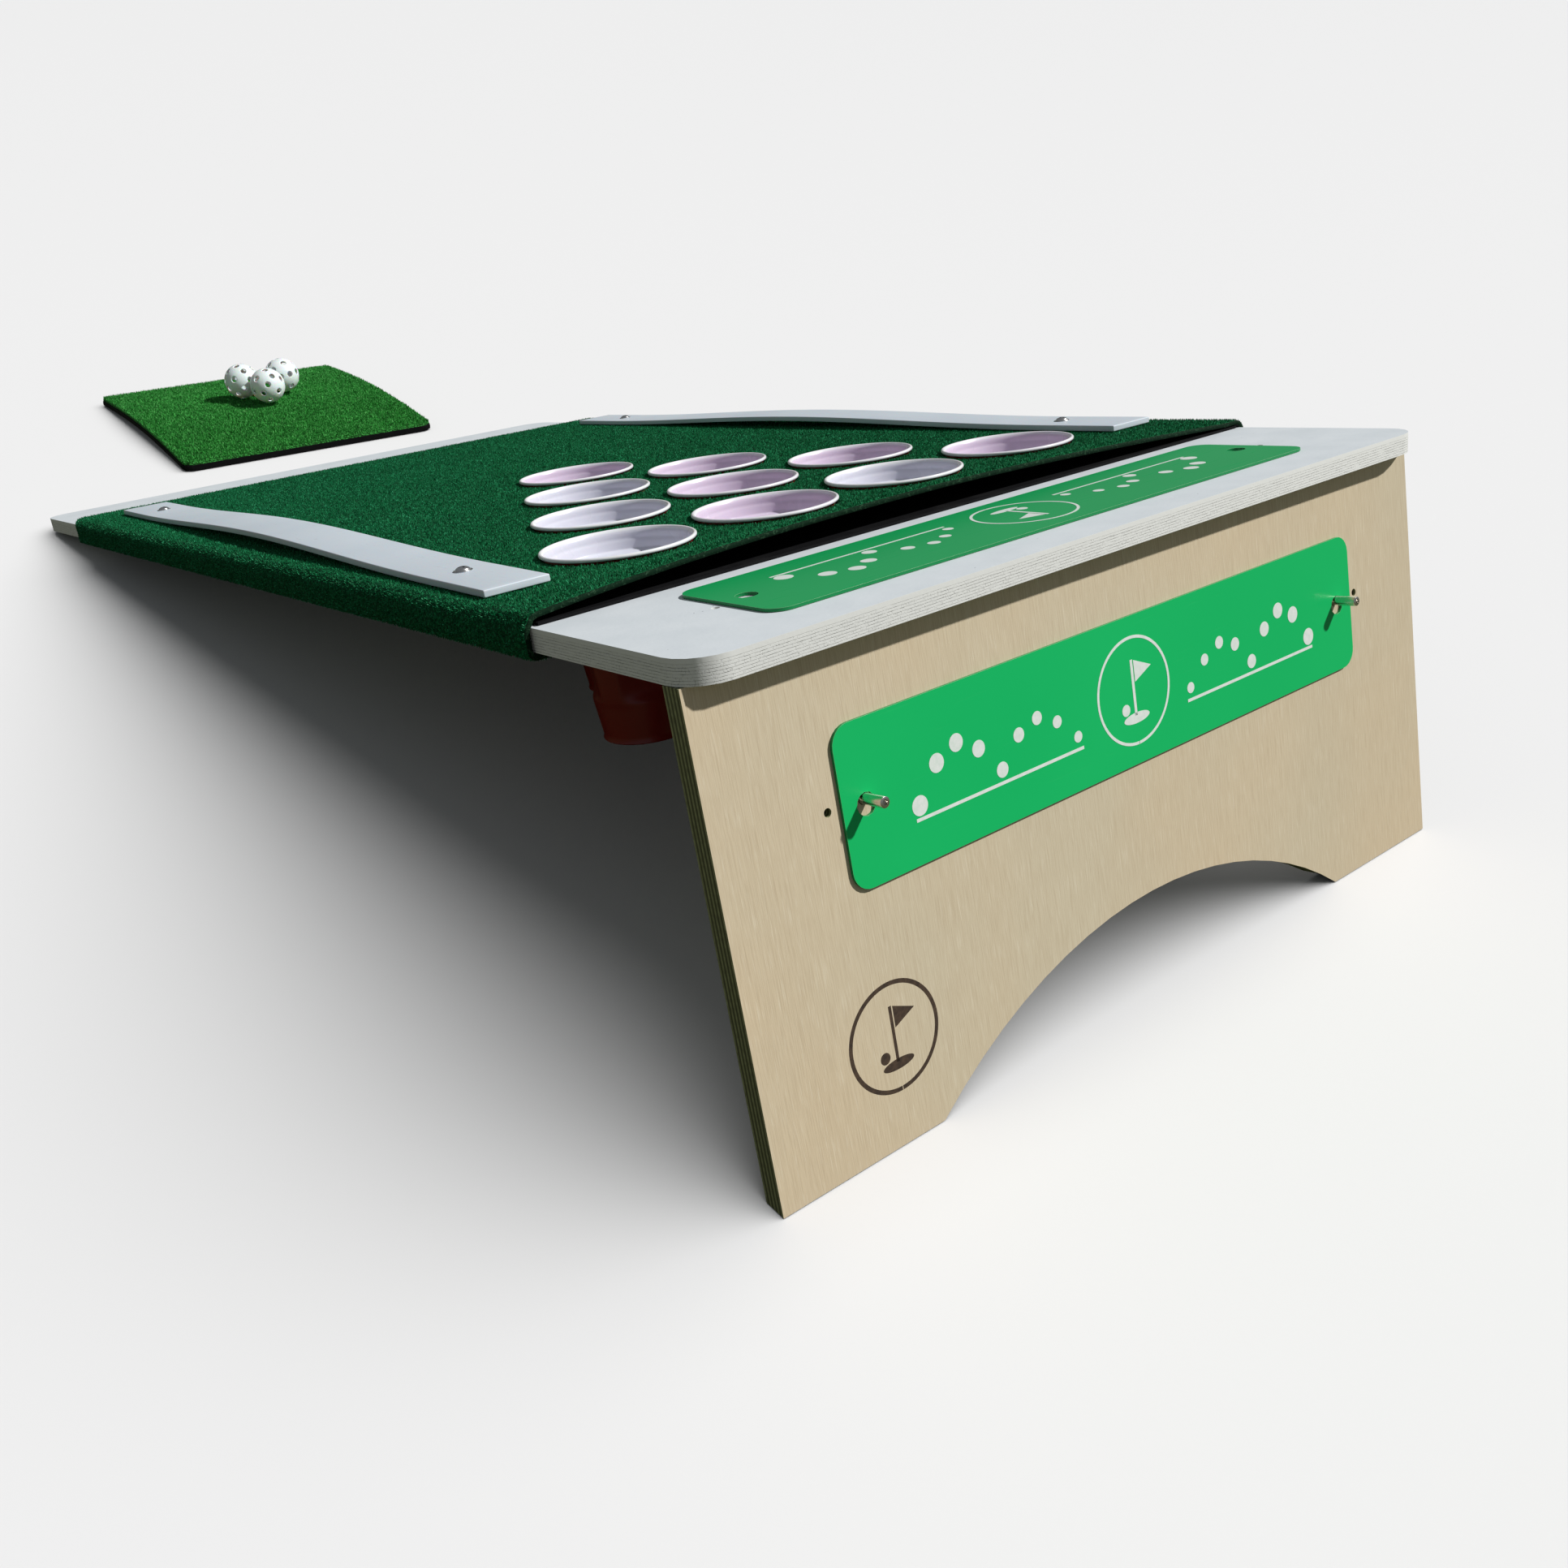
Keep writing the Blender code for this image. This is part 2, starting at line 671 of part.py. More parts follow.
def make_leaf(name, spans, location, rotation, parent):
    """A leaf with the knuckles that it holds, and its two screw holes."""
    leaf = add_object(name, leaf_mesh(name), location, rotation, parent, STEEL)
    for number, (start, end) in enumerate(spans, 1):
        piece = f"{name}_knuckle_{number}"
        knuckle = add_object(piece, knuckle_mesh(piece, start, end), location, rotation, parent)
        cut(leaf, knuckle, "UNION")
    places = [(way * HINGE_SCREW_SPACING / 2, HINGE_SCREW_OUT) for way in (-1, 1)]
    radius = HINGE_SCREW_RADIUS + HOLE_CLEARANCE
    holes = cylinders_mesh(f"{name}_holes", places, radius, 0, 2 * KNUCKLE_RADIUS, 12)
    cut(leaf, add_object(f"{name}_hole_cutter", holes, location, rotation, parent))


def make_hinges():
    third = HINGE_LENGTH / 6
    outer = ((-HINGE_LENGTH / 2, -third - GAP / 2), (third + GAP / 2, HINGE_LENGTH / 2))
    inner = ((-third + GAP / 2, third - GAP / 2),)
    pin = bpy.data.meshes.new("hinge_pin")
    made = bmesh.new()
    bmesh.ops.create_cone(
        made,
        cap_ends=True,
        segments=8,
        radius1=HINGE_PIN_RADIUS,
        radius2=HINGE_PIN_RADIUS,
        depth=HINGE_LENGTH,
    )
    made.to_mesh(pin)
    made.free()
    # The leg's leaf is the board's, turned to hang down and lie against the leg.
    hang = (math.radians(-90), 0, 0)
    profile = screw_profile(
        HINGE_SCREW_RADIUS,
        HINGE_SCREW_LENGTH + LEAF_THICKNESS,
        HINGE_SCREW_HEAD,
        HINGE_SCREW_HEAD_HEIGHT,
    )
    screw_mesh = profile_mesh("hinge_screw", profile)
    out = LEAF_THICKNESS + GAP - KNUCKLE_RADIUS
    for side, way in (("left", -1), ("right", 1)):
        x = way * HINGE_X
        pivot = (x, PIVOT_Y, PIVOT_Z)
        make_leaf(f"hinge_board_leaf_{side}", outer, pivot, (0, 0, 0), BOARD)
        make_leaf(f"hinge_leg_leaf_{side}", inner, (x, 0, 0), hang, LEG)
        add_object(f"hinge_pin_{side}", pin, pivot, (0, math.radians(90), 0), BOARD, STEEL)
        for number, step in enumerate((-HINGE_SCREW_SPACING / 2, HINGE_SCREW_SPACING / 2), 1):
            board_place = (x + step, PIVOT_Y + HINGE_SCREW_OUT, PIVOT_Z - out)
            leg_place = (x + step, out, -HINGE_SCREW_OUT)
            board_screw = add_object(
                f"board_hinge_screw_{side}_{number}",
                screw_mesh,
                board_place,
                (math.radians(180), 0, 0),
                BOARD,
                STEEL,
            )
            leg_screw = add_object(
                f"leg_hinge_screw_{side}_{number}",
                screw_mesh,
                leg_place,
                (math.radians(-90), 0, 0),
                LEG,
                STEEL,
            )
            turn(board_screw, SCREW_SIDES)
            turn(leg_screw, SCREW_SIDES)


# ---- loose mat and balls


def mat_height(v):
    """Height of the mat's base at a share v of its length."""
    return MAT_BASE + MAT_CROWN * math.sin(math.pi * v)


def make_mat():
    """A rubber base that swells to the middle, with a sheet of turf on it."""

    def base_place(x, y, z):
        v = y + 0.5
        return (x * MAT_WIDTH, y * MAT_LENGTH, mat_height(v) if z > 0 else 0)

    made = bmesh.new()
    bmesh.ops.create_cube(made, size=1)
    sides = [edge for edge in made.edges if abs(edge.verts[0].co.y - edge.verts[1].co.y) > 0.5]
    bmesh.ops.subdivide_edges(made, edges=sides, cuts=MAT_ROWS - 1)
    base_mesh = bpy.data.meshes.new("mat_base")
    made.to_mesh(base_mesh)
    made.free()
    add_object("mat_base", move_mesh(base_mesh, base_place), parent=MAT, finish=BLACK_RUBBER)

    def turf_place(u, v):
        return ((u - 0.5) * MAT_WIDTH, (v - 0.5) * MAT_LENGTH, mat_height(v) + GAP)

    turf_mesh = grid_mesh("mat_turf", 1, MAT_ROWS, turf_place)
    bend_out(turf_mesh)
    turf = add_object("mat_turf", turf_mesh, parent=MAT, finish=BRIGHT_TURF)
    thicken(turf, MAT_TURF)


def ball_hole_directions():
    """The 26 directions to the faces, edges and corners of a cube."""
    steps = (-1, 0, 1)
    return [(x, y, z) for x in steps for y in steps for z in steps if (x, y, z) != (0, 0, 0)]


def ball_shell_mesh(name, radius, inside):
    made = bmesh.new()
    bmesh.ops.create_uvsphere(made, u_segments=12, v_segments=8, radius=radius)
    if inside:
        hollow = bmesh.ops.create_uvsphere(
            made, u_segments=10, v_segments=6, radius=radius - BALL_WALL
        )
        faces = {face for vertex in hollow["verts"] for face in vertex.link_faces}
        bmesh.ops.reverse_faces(made, faces=list(faces))
    mesh = bpy.data.meshes.new(name)
    made.to_mesh(mesh)
    made.free()
    return mesh


def ball_hole_mesh(name):
    """Five-sided pegs through the wall of the ball in the 26 directions."""
    made = bmesh.new()
    for direction in ball_hole_directions():
        length = math.sqrt(sum(part * part for part in direction))
        unit = [part / length for part in direction]
        ring = bmesh.ops.create_cone(
            made,
            cap_ends=True,
            segments=5,
            radius1=BALL_HOLE_RADIUS * 0.75,
            radius2=BALL_HOLE_RADIUS,
            depth=BALL_RADIUS * 0.5,
        )
        aim = math.atan2(unit[1], unit[0])
        tilt = math.acos(unit[2])
        for vertex in ring["verts"]:
            x, y, z = vertex.co
            z += BALL_RADIUS
            x, z = x * math.cos(tilt) + z * math.sin(tilt), z * math.cos(tilt) - x * math.sin(tilt)
            vertex.co = (
                x * math.cos(aim) - y * math.sin(aim),
                x * math.sin(aim) + y * math.cos(aim),
                z,
            )
    mesh = bpy.data.meshes.new(name)
    made.to_mesh(mesh)
    made.free()
    return mesh


def make_balls():
    """Hollow practice balls, open through their holes."""
    shell = ball_shell_mesh("practice_ball", BALL_RADIUS, True)
    holes = ball_hole_mesh("ball_holes")
    for number, (x, y, spin) in enumerate(BALLS, 1):
        height = mat_height(0.5 + y / MAT_LENGTH) + GAP + MAT_TURF + GAP + BALL_RADIUS
        place = (x, y, height)
        tilt = (math.radians(spin), math.radians(spin / 2), 0)
        ball = add_object(f"practice_ball_{number}", shell, place, tilt, MAT, WHITE_PLASTIC)
        cut(ball, add_object(f"ball_hole_cutter_{number}", holes, place, tilt, MAT))


clear_scene()
PARTS = new_collection("cup_target_board")
CUTTERS = new_collection("cutters")

PAINTED_WOOD = material("painted_wood", (0.63, 0.66, 0.70), 0.45)
BIRCH = material("birch", (0.62, 0.54, 0.40), 0.6)
GREEN_PLATE = material("green_plate", (0.02, 0.35, 0.10), 0.3)
DARK_TURF = material("dark_turf", (0.01, 0.10, 0.04), 0.9)
BRIGHT_TURF = material("bright_turf", (0.04, 0.20, 0.04), 0.9)
BLACK_RUBBER = material("black_rubber", (0.01, 0.01, 0.012), 0.8)
WHITE_PLASTIC = material("white_plastic", (0.72, 0.76, 0.82), 0.4)
RED_CUP = material("red_cup", (0.45, 0.01, 0.01), 0.35)
STEEL = material("steel", (0.55, 0.54, 0.52), 0.3, 1.0)

near = -MAT_REACH / 2
BOARD = empty(
    "board_frame",
    (
        0,
        near - FOOT_Y * math.cos(SLOPE) - FOOT_Z * math.sin(SLOPE),
        FOOT_Y * math.sin(SLOPE) - FOOT_Z * math.cos(SLOPE),
    ),
    (-SLOPE, 0, 0),
)
LEG = empty("leg_pivot", (0, PIVOT_Y, PIVOT_Z), (-LEG_KICK, 0, 0), BOARD)
MAT = empty("mat_frame", (MAT_X, near + MAT_Y, 0), (0, 0, MAT_TURN))

cup_hole_cutter, rail_screw_hole_cutter = board_cutters()
make_board((cup_hole_cutter, rail_screw_hole_cutter))
make_underlay((cup_hole_cutter, rail_screw_hole_cutter))
make_turf((cup_hole_cutter, rail_screw_hole_cutter))
make_cups()
make_rails(rail_screw_hole_cutter)
make_rail_screws()
make_leg()
make_sign_pins()
make_plates()
make_hinges()
make_mat()
make_balls()
for made_mesh in bpy.data.meshes:
    smooth(made_mesh)
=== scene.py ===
import itertools
import json
import math

import bmesh
import bpy
import numpy as np
from mathutils import Matrix, Vector


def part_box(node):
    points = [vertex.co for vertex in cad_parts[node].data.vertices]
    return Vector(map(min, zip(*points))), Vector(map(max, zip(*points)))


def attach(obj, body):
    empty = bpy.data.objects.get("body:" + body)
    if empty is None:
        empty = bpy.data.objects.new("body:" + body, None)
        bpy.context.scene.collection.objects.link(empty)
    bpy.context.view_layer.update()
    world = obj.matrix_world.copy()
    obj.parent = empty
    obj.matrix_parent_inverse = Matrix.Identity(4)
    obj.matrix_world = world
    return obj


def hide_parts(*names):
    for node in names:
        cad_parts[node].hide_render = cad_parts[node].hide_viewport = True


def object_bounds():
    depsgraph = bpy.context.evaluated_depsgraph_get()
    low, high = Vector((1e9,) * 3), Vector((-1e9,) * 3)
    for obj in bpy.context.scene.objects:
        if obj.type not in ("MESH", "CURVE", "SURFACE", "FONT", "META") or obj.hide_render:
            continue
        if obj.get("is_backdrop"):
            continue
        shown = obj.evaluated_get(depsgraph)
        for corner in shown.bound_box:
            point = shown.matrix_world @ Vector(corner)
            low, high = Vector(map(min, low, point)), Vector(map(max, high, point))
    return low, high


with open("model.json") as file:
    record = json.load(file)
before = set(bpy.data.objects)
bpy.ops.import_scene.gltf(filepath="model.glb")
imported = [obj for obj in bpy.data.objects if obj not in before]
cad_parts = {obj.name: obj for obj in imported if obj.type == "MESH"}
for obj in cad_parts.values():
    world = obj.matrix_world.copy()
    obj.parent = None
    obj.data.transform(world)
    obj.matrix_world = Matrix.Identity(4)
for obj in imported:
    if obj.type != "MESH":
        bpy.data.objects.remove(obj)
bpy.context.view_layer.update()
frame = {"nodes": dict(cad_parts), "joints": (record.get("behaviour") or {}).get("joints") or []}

scene = bpy.context.scene
mm = 0.001

# board frame: x across, y from the raised edge to the low edge, z up from the painted face
liftAxis = next(j["axis"] for j in frame["joints"] if j["name"] == "cup_01_lift")
slope = math.atan2(liftAxis[1], liftAxis[2])
slopeSin, slopeCos = math.sin(slope), math.cos(slope)
board = {"length": 1154 * mm, "thick": 12.7 * mm, "header": 136 * mm, "tail": 130 * mm}
boardLow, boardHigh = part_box("base_board")
boardY = boardLow.y + board["thick"] * slopeSin
boardZ = boardHigh.z

# leg frame: x across, d inwards from its outer face, h up from its top outer edge
hinge = next(j for j in frame["joints"] if j["name"] == "leg_fold")["pos_m"]
leg = {"kick": math.radians(4.2), "pinBack": 16.2 * mm, "pinUnder": 3.5 * mm}
legTurn = slope + leg["kick"]
pinDown = (leg["pinUnder"] - leg["pinBack"] * math.sin(leg["kick"])) / math.cos(leg["kick"])


def onBoard(x, y, z):
    x, y, z = np.broadcast_arrays(x, y, z)
    return np.stack([x, boardY + y * slopeCos + z * slopeSin, boardZ - y * slopeSin + z * slopeCos], -1)


def onLeg(x, d, h):
    x, d, h = np.broadcast_arrays(x, d, h)
    y, z = d - leg["pinBack"], h + pinDown
    turnSin, turnCos = math.sin(legTurn), math.cos(legTurn)
    return np.stack([x, hinge[1] + y * turnCos + z * turnSin, hinge[2] - y * turnSin + z * turnCos], -1)


boardNormal = (0, slopeSin, slopeCos)
legNormal = tuple(float(v) for v in onLeg(0.0, 1.0, 0.0) - onLeg(0.0, 0.0, 0.0))  # inwards


# ---- shader helpers

class Signal:
    # one shader value: sums and products of it add Math nodes
    def __init__(self, finish, socket):
        self.finish = finish
        self.socket = socket

    def math(self, kind, *others):
        return self.finish.math(kind, self, *others)

    def __add__(self, other):
        return self.math("ADD", other)

    __radd__ = __add__

    def __sub__(self, other):
        return self.math("SUBTRACT", other)

    def __rsub__(self, other):
        return self.finish.math("SUBTRACT", other, self)

    def __mul__(self, other):
        return self.math("MULTIPLY", other)

    def __gt__(self, other):
        return self.math("GREATER_THAN", other)

    def __lt__(self, other):
        return self.math("LESS_THAN", other)


class Finish:
    # a material with its Principled shader and short ways to build its nodes
    def __init__(self, name, **shader):
        self.material = bpy.data.materials.new(name)
        self.material.use_nodes = True
        self.tree = self.material.node_tree
        self.shader = self.tree.nodes["Principled BSDF"]
        for key, value in shader.items():
            self.feed(key, value)

    def feed(self, key, value):
        names = {"colour": "Base Color", "roughness": "Roughness", "metallic": "Metallic",
                 "coat": "Coat Weight", "coatRough": "Coat Roughness", "normal": "Normal",
                 "specular": "Specular IOR Level", "subsurface": "Subsurface Weight",
                 "subsurfaceScale": "Subsurface Scale"}
        self.plug(self.shader.inputs[names[key]], value)

    def plug(self, socket, value):
        if isinstance(value, Signal):
            self.tree.links.new(value.socket, socket)
        elif isinstance(value, (tuple, list)) and socket.type == "RGBA":
            socket.default_value = (*value, 1.0)
        else:
            socket.default_value = value

    def node(self, kind, settings=None, inputs=None, output=0):
        made = self.tree.nodes.new(kind)
        for key, value in (settings or {}).items():
            setattr(made, key, value)
        for key, value in (inputs or {}).items():
            self.plug(made.inputs[key], value)
        return Signal(self, made.outputs[output])

    def math(self, kind, *values):
        return self.node("ShaderNodeMath", {"operation": kind}, dict(enumerate(values)))

    def place(self):
        return self.node("ShaderNodeTexCoord", output="Object")

    def turned(self, origin, angle, scale=(1, 1, 1)):
        # object coordinates seen from a frame at origin, tilted down by angle about x
        seen = self.node("ShaderNodeMapping", {"vector_type": "TEXTURE"},
                         {0: self.place(), 1: origin, 2: (-angle, 0, 0)})
        return seen if scale == (1, 1, 1) else self.node("ShaderNodeMapping", None, {0: seen, 3: scale})

    def onBoard(self, scale=(1, 1, 1)):
        return self.turned((0, boardY, boardZ), slope, scale)

    def onLeg(self, scale=(1, 1, 1)):
        top = onLeg(0.0, 0.0, 0.0)
        return self.turned(tuple(float(v) for v in top), legTurn, scale)

    def split(self, vector):
        made = self.node("ShaderNodeSeparateXYZ", None, {0: vector})
        outs = made.socket.node.outputs
        return Signal(self, outs[0]), Signal(self, outs[1]), Signal(self, outs[2])

    def noise(self, vector, scale, detail=3.0, rough=0.5):
        return self.node("ShaderNodeTexNoise", None,
                         {"Vector": vector, "Scale": scale, "Detail": detail, "Roughness": rough})

    def voronoi(self, vector, scale, output=0):
        return self.node("ShaderNodeTexVoronoi", None, {"Vector": vector, "Scale": scale}, output)

    def fade(self, value, low, high, start=0.0, end=1.0):
        # value from low to high becomes start to end, held at both ends
        return self.node("ShaderNodeMapRange", {"clamp": True},
                         {0: value, 1: low, 2: high, 3: start, 4: end})

    def mix(self, share, first, second):
        return self.node("ShaderNodeMix", {"data_type": "RGBA"}, {0: share, 6: first, 7: second}, 2)

    def dressed(self, colour, roughness, height, strength, distance):
        # the last step of most finishes: colour, roughness and a bump
        self.feed("colour", colour)
        self.feed("roughness", roughness)
        self.feed("normal", self.node("ShaderNodeBump", None,
                                      {"Strength": strength, "Distance": distance, "Height": height}))
        return self

    def edgeFacing(self, direction):
        # 1 where a face looks along direction or against it, 0 where it is square to it
        normal = self.node("ShaderNodeNewGeometry", output="True Normal")
        along = self.node("ShaderNodeVectorMath", {"operation": "DOT_PRODUCT"},
                          {0: normal, 1: direction}, 1)
        return along.math("ABSOLUTE")


# ---- mesh helpers

weldGap = 2e-6


def meshFrom(name, points, faces, uv=None, slots=None):
    mesh = bpy.data.meshes.new(name)
    faces = np.ascontiguousarray(faces, np.int32)
    mesh.vertices.add(len(points))
    mesh.vertices.foreach_set("co", np.ascontiguousarray(points, np.float32).ravel())
    mesh.loops.add(faces.size)
    mesh.loops.foreach_set("vertex_index", faces.ravel())
    mesh.polygons.add(len(faces))
    mesh.polygons.foreach_set("loop_start", np.arange(0, faces.size, faces.shape[1], dtype=np.int32))
    if slots is not None:
        mesh.polygons.foreach_set("material_index", np.ascontiguousarray(slots, np.int32))
    mesh.update(calc_edges=True)
    if uv is not None:
        pattern = mesh.uv_layers.new(name="pattern")
        pattern.data.foreach_set("uv", np.ascontiguousarray(uv, np.float32).ravel())
    return mesh


def gridFaces(rows, cols, closed=False):
    # quads between neighbours of a rows x cols grid; closed joins its last column to its first
    index = np.arange(rows * cols).reshape(rows, cols)
    if closed:
        index = np.concatenate([index, index[:, :1]], 1)
    corners = [index[:-1, :-1], index[:-1, 1:], index[1:, 1:], index[1:, :-1]]
    return np.stack(corners, -1).reshape(-1, 4)


def finished(work, mesh):
    work.to_mesh(mesh)
    work.free()
    return mesh


def weld(mesh, outward=True):
    work = bmesh.new()
    work.from_mesh(mesh)
    bmesh.ops.remove_doubles(work, verts=work.verts, dist=weldGap)
    bmesh.ops.dissolve_degenerate(work, edges=work.edges, dist=weldGap)
    if outward:
        bmesh.ops.recalc_face_normals(work, faces=work.faces)
    return finished(work, mesh)


def smooth(mesh, angle):
    mesh.shade_smooth()
    mesh.set_sharp_from_angle(angle=math.radians(angle))
    return mesh


def addPiece(name, mesh, body, finishes, replaces=()):
    made = bpy.data.objects.new(name, mesh)
    scene.collection.objects.link(made)
    for finish in finishes:
        mesh.materials.append(finish.material)
    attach(made, body)
    if replaces:
        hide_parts(*replaces)
    return made


def copyNode(node, body, finishes, bevel, name, segments=2, thin=None):
    # a merged copy of a CAD node with its edges eased; thin squashes a plate towards the plane it lies on
    work = bmesh.new()
    work.from_mesh(frame["nodes"][node].data)
    bmesh.ops.remove_doubles(work, verts=work.verts, dist=weldGap)
    bmesh.ops.dissolve_limit(work, angle_limit=math.radians(0.5), verts=work.verts, edges=work.edges)
    if thin is not None:
        base, up = (Vector(v) for v in thin)
        for vert in work.verts:
            level = (vert.co - base).dot(up) - plate["gap"]
            vert.co -= up * level * (1 - plate["thick"] / plate["cadThick"])
    mesh = finished(work, bpy.data.meshes.new(name))
    if "custom_normal" in mesh.attributes:
        mesh.attributes.remove(mesh.attributes["custom_normal"])
    mesh.shade_smooth()
    made = addPiece(name, mesh, body, finishes, (node,))
    eased = made.modifiers.new("easedEdges", "BEVEL")
    eased.width = bevel
    eased.segments = segments
    eased.limit_method = "ANGLE"
    eased.angle_limit = math.radians(35)
    eased.harden_normals = True
    eased.use_clamp_overlap = True
    return made


def finishNode(node, finish):
    # a CAD node that stays as it is, with a finish of its own
    data = frame["nodes"][node].data
    data.materials.clear()
    data.materials.append(finish.material)


def turnedMesh(name, profile, steps, frameAt):
    # profile (radius, height) turned about its axis; frameAt puts x, y, z into the world
    radius, height = np.asarray(profile, float).T
    angle = np.linspace(0, 2 * math.pi, steps, endpoint=False)
    x = radius[:, None] * np.cos(angle)
    y = radius[:, None] * np.sin(angle)
    z = np.broadcast_to(height[:, None], x.shape)
    faces = gridFaces(len(radius), steps, closed=True)
    # the pattern map looks down the axis and spans 20 mm
    flat = np.stack([x, y], -1).reshape(-1, 2)
    uv = flat[faces.ravel()] / (20 * mm) + 0.5
    return smooth(weld(meshFrom(name, frameAt(x, y, z).reshape(-1, 3), faces, uv)), 30)


def arcPoints(cx, cz, radius, start, end, steps):
    # points on a circle, angles in degrees
    turn = np.radians(np.linspace(start, end, steps + 1))
    return np.stack([cx + radius * np.cos(turn), cz + radius * np.sin(turn)], -1)


# ---- finishes

edgeLines = {"paintPitch": 1.5 * mm, "paintWobble": 0.7 * mm, "cleanBand": 2.4 * mm, "bandFade": 0.6 * mm,
             "plyPitch": 2.82 * mm, "plyWobble": 0.3 * mm}


def makePaint():
    # white paint over ply: fine mottle, specks, side faces painted lighter than the top as a painted
    # highlight, and on the edges thin torn ply lines showing through
    f = Finish("whitePaint", specular=0.22)
    boardPlace = f.onBoard()
    mottle = f.noise(boardPlace, 35, 4, 0.6)
    specks = f.fade(f.voronoi(boardPlace, 160), 0.05, 0.09, 1, 0) * (f.noise(boardPlace, 22, 2) > 0.60)
    colour = f.mix(mottle, (0.635, 0.690, 0.735), (0.715, 0.755, 0.790))
    colour = f.mix(specks * 0.7, colour, (0.12, 0.13, 0.14))
    _, _, z = f.split(boardPlace)
    wobble = (f.noise(f.onBoard((1, 1, 5)), 60, 5, 0.7) - 0.5) * edgeLines["paintWobble"]
    layers = ((z + wobble) * (2 * math.pi / edgeLines["paintPitch"])).math("SINE")
    lines = f.fade(layers, 0.80, 0.995) * f.fade(f.noise(f.onBoard((1, 1, 3)), 110, 4, 0.8), 0.34, 0.60)
    torn = f.fade(f.noise(f.onBoard((1, 1, 0.45)), 1300, 3, 0.75), 0.57, 0.66)
    side = f.fade(1 - f.edgeFacing(boardNormal), 0.55, 0.9)
    below = f.fade(z, -edgeLines["cleanBand"] - edgeLines["bandFade"], -edgeLines["cleanBand"], 1, 0)
    marks = (lines + torn * 0.4).math("MINIMUM", 1.0) * side * below
    # painted highlight: every side face is mixed towards a lighter white than the top
    colour = f.mix(side * 0.8, colour, (0.84, 0.84, 0.81))
    colour = f.mix(marks * 0.85, colour, (0.085, 0.080, 0.070))
    height = mottle * 0.35 + f.noise(boardPlace, 420, 2) * 0.2 - marks * 1.4 - specks * 0.5
    return f.dressed(colour, f.fade(mottle, 0.3, 0.7, 0.46, 0.60), height, 0.35, 0.0008)


def makeBirch():
    # birch veneer with short fine grain down the leg, and dark and light plies on every edge
    f = Finish("birchPly", coat=0.10, coatRough=0.35)
    legPlace = f.onLeg()
    _, d, _ = f.split(legPlace)
    grain = f.noise(f.onLeg((1, 1, 0.028)), 1500, 3, 0.7)
    broad = f.noise(f.onLeg((1, 1, 0.10)), 30, 4, 0.6)
    cloud = f.noise(f.onLeg((1, 1, 0.8)), 5, 2)
    fleck = f.noise(f.onLeg((1, 1, 0.05)), 1100, 2, 0.6)
    face = f.mix(f.fade(cloud, 0.35, 0.65), (0.680, 0.555, 0.385), (0.640, 0.560, 0.410))
    face = f.mix(f.fade(broad, 0.35, 0.75) * 0.18, face, (0.560, 0.440, 0.290))
    face = f.mix(f.fade(grain, 0.44, 0.70) * 0.50, face, (0.440, 0.340, 0.215))
    face = f.mix(f.fade(fleck, 0.56, 0.70) * 0.35, face, (0.82, 0.75, 0.60))
    ripple = (f.noise(f.onLeg((1, 1, 3)), 40, 3) - 0.5) * edgeLines["plyWobble"]
    plies = ((d + ripple) * (2 * math.pi / edgeLines["plyPitch"])).math("SINE")
    edge = f.mix(f.fade(plies, -0.25, 0.45), (0.085, 0.090, 0.038), (0.340, 0.360, 0.180))
    edge = f.mix(f.fade(f.noise(legPlace, 300, 3), 0.35, 0.7) * 0.5, edge, (0.060, 0.055, 0.030))
    onEdge = f.fade(1 - f.edgeFacing(legNormal), 0.3, 0.7)
    height = grain * 0.8 + broad * 0.2 - onEdge * plies * 0.4
    return f.dressed(f.mix(onEdge, face, edge), f.fade(grain, 0.3, 0.7, 0.42, 0.62), height, 0.35, 0.0005)


def makePlateGreen(name, facing, first, second):
    # smooth printed plate: slight orange peel, hairline scratches, a pale band on the bevelled edge that is
    # a painted highlight, and darker green side faces that are painted shade
    f = Finish(name, coat=0.02, coatRough=0.15, specular=0.14)
    place = f.place()
    peel = f.noise(place, 260, 2)
    cloud = f.noise(place, 9, 2)
    drawn = f.node("ShaderNodeMapping", None, {0: place, 2: (0.4, 0.3, 0.6), 3: (4, 90, 90)})
    scratch = f.fade(f.noise(drawn, 6, 3), 0.66, 0.70)
    flatness = f.edgeFacing(facing)
    rim = f.fade(flatness, 0.10, 0.25) * f.fade(flatness, 0.985, 0.96)
    face = f.mix(cloud, first, second)
    # painted shade: the side faces turn a darker green
    face = f.mix(f.fade(flatness, 0.2, 0.1) * 0.6, face, (0.010, 0.14, 0.045))
    # painted highlight: the bevelled edge and the hole rims turn pale
    colour = f.mix(rim * 0.75, face, f.mix(peel, (0.16, 0.42, 0.20), (0.62, 0.72, 0.55)))
    return f.dressed(colour, 0.30 + scratch * 0.2, peel * 0.4 - scratch * 0.4, 0.12, 0.0003)


def makeWorn(name, grain, spread, low, high, rough, relief, **shader):
    # one noise gives the colour, the roughness and the bump
    f = Finish(name, **shader)
    wear = f.noise(f.place(), *grain)
    return f.dressed(f.mix(f.fade(wear, *spread), low, high), f.fade(wear, 0.3, 0.7, *rough), wear, *relief)


def makeTurf(name, deep, fresh, tip):
    # ground between the blades: knobbly loops of dark yarn
    f = Finish(name, specular=0.15)
    place = f.place()
    tuft = f.voronoi(place, 480)
    cloud = f.noise(place, 14, 3)
    fine = f.noise(place, 900, 3, 0.7)
    colour = f.mix(f.fade(tuft, 0.1, 0.6), fresh, deep)
    colour = f.mix(f.fade(cloud, 0.35, 0.7) * 0.25, colour, deep)
    colour = f.mix(f.fade(fine, 0.62, 0.72) * 0.5, colour, tip)
    return f.dressed(colour, 0.9, fine * 0.6 - tuft * 0.8, 0.9, 0.0014)


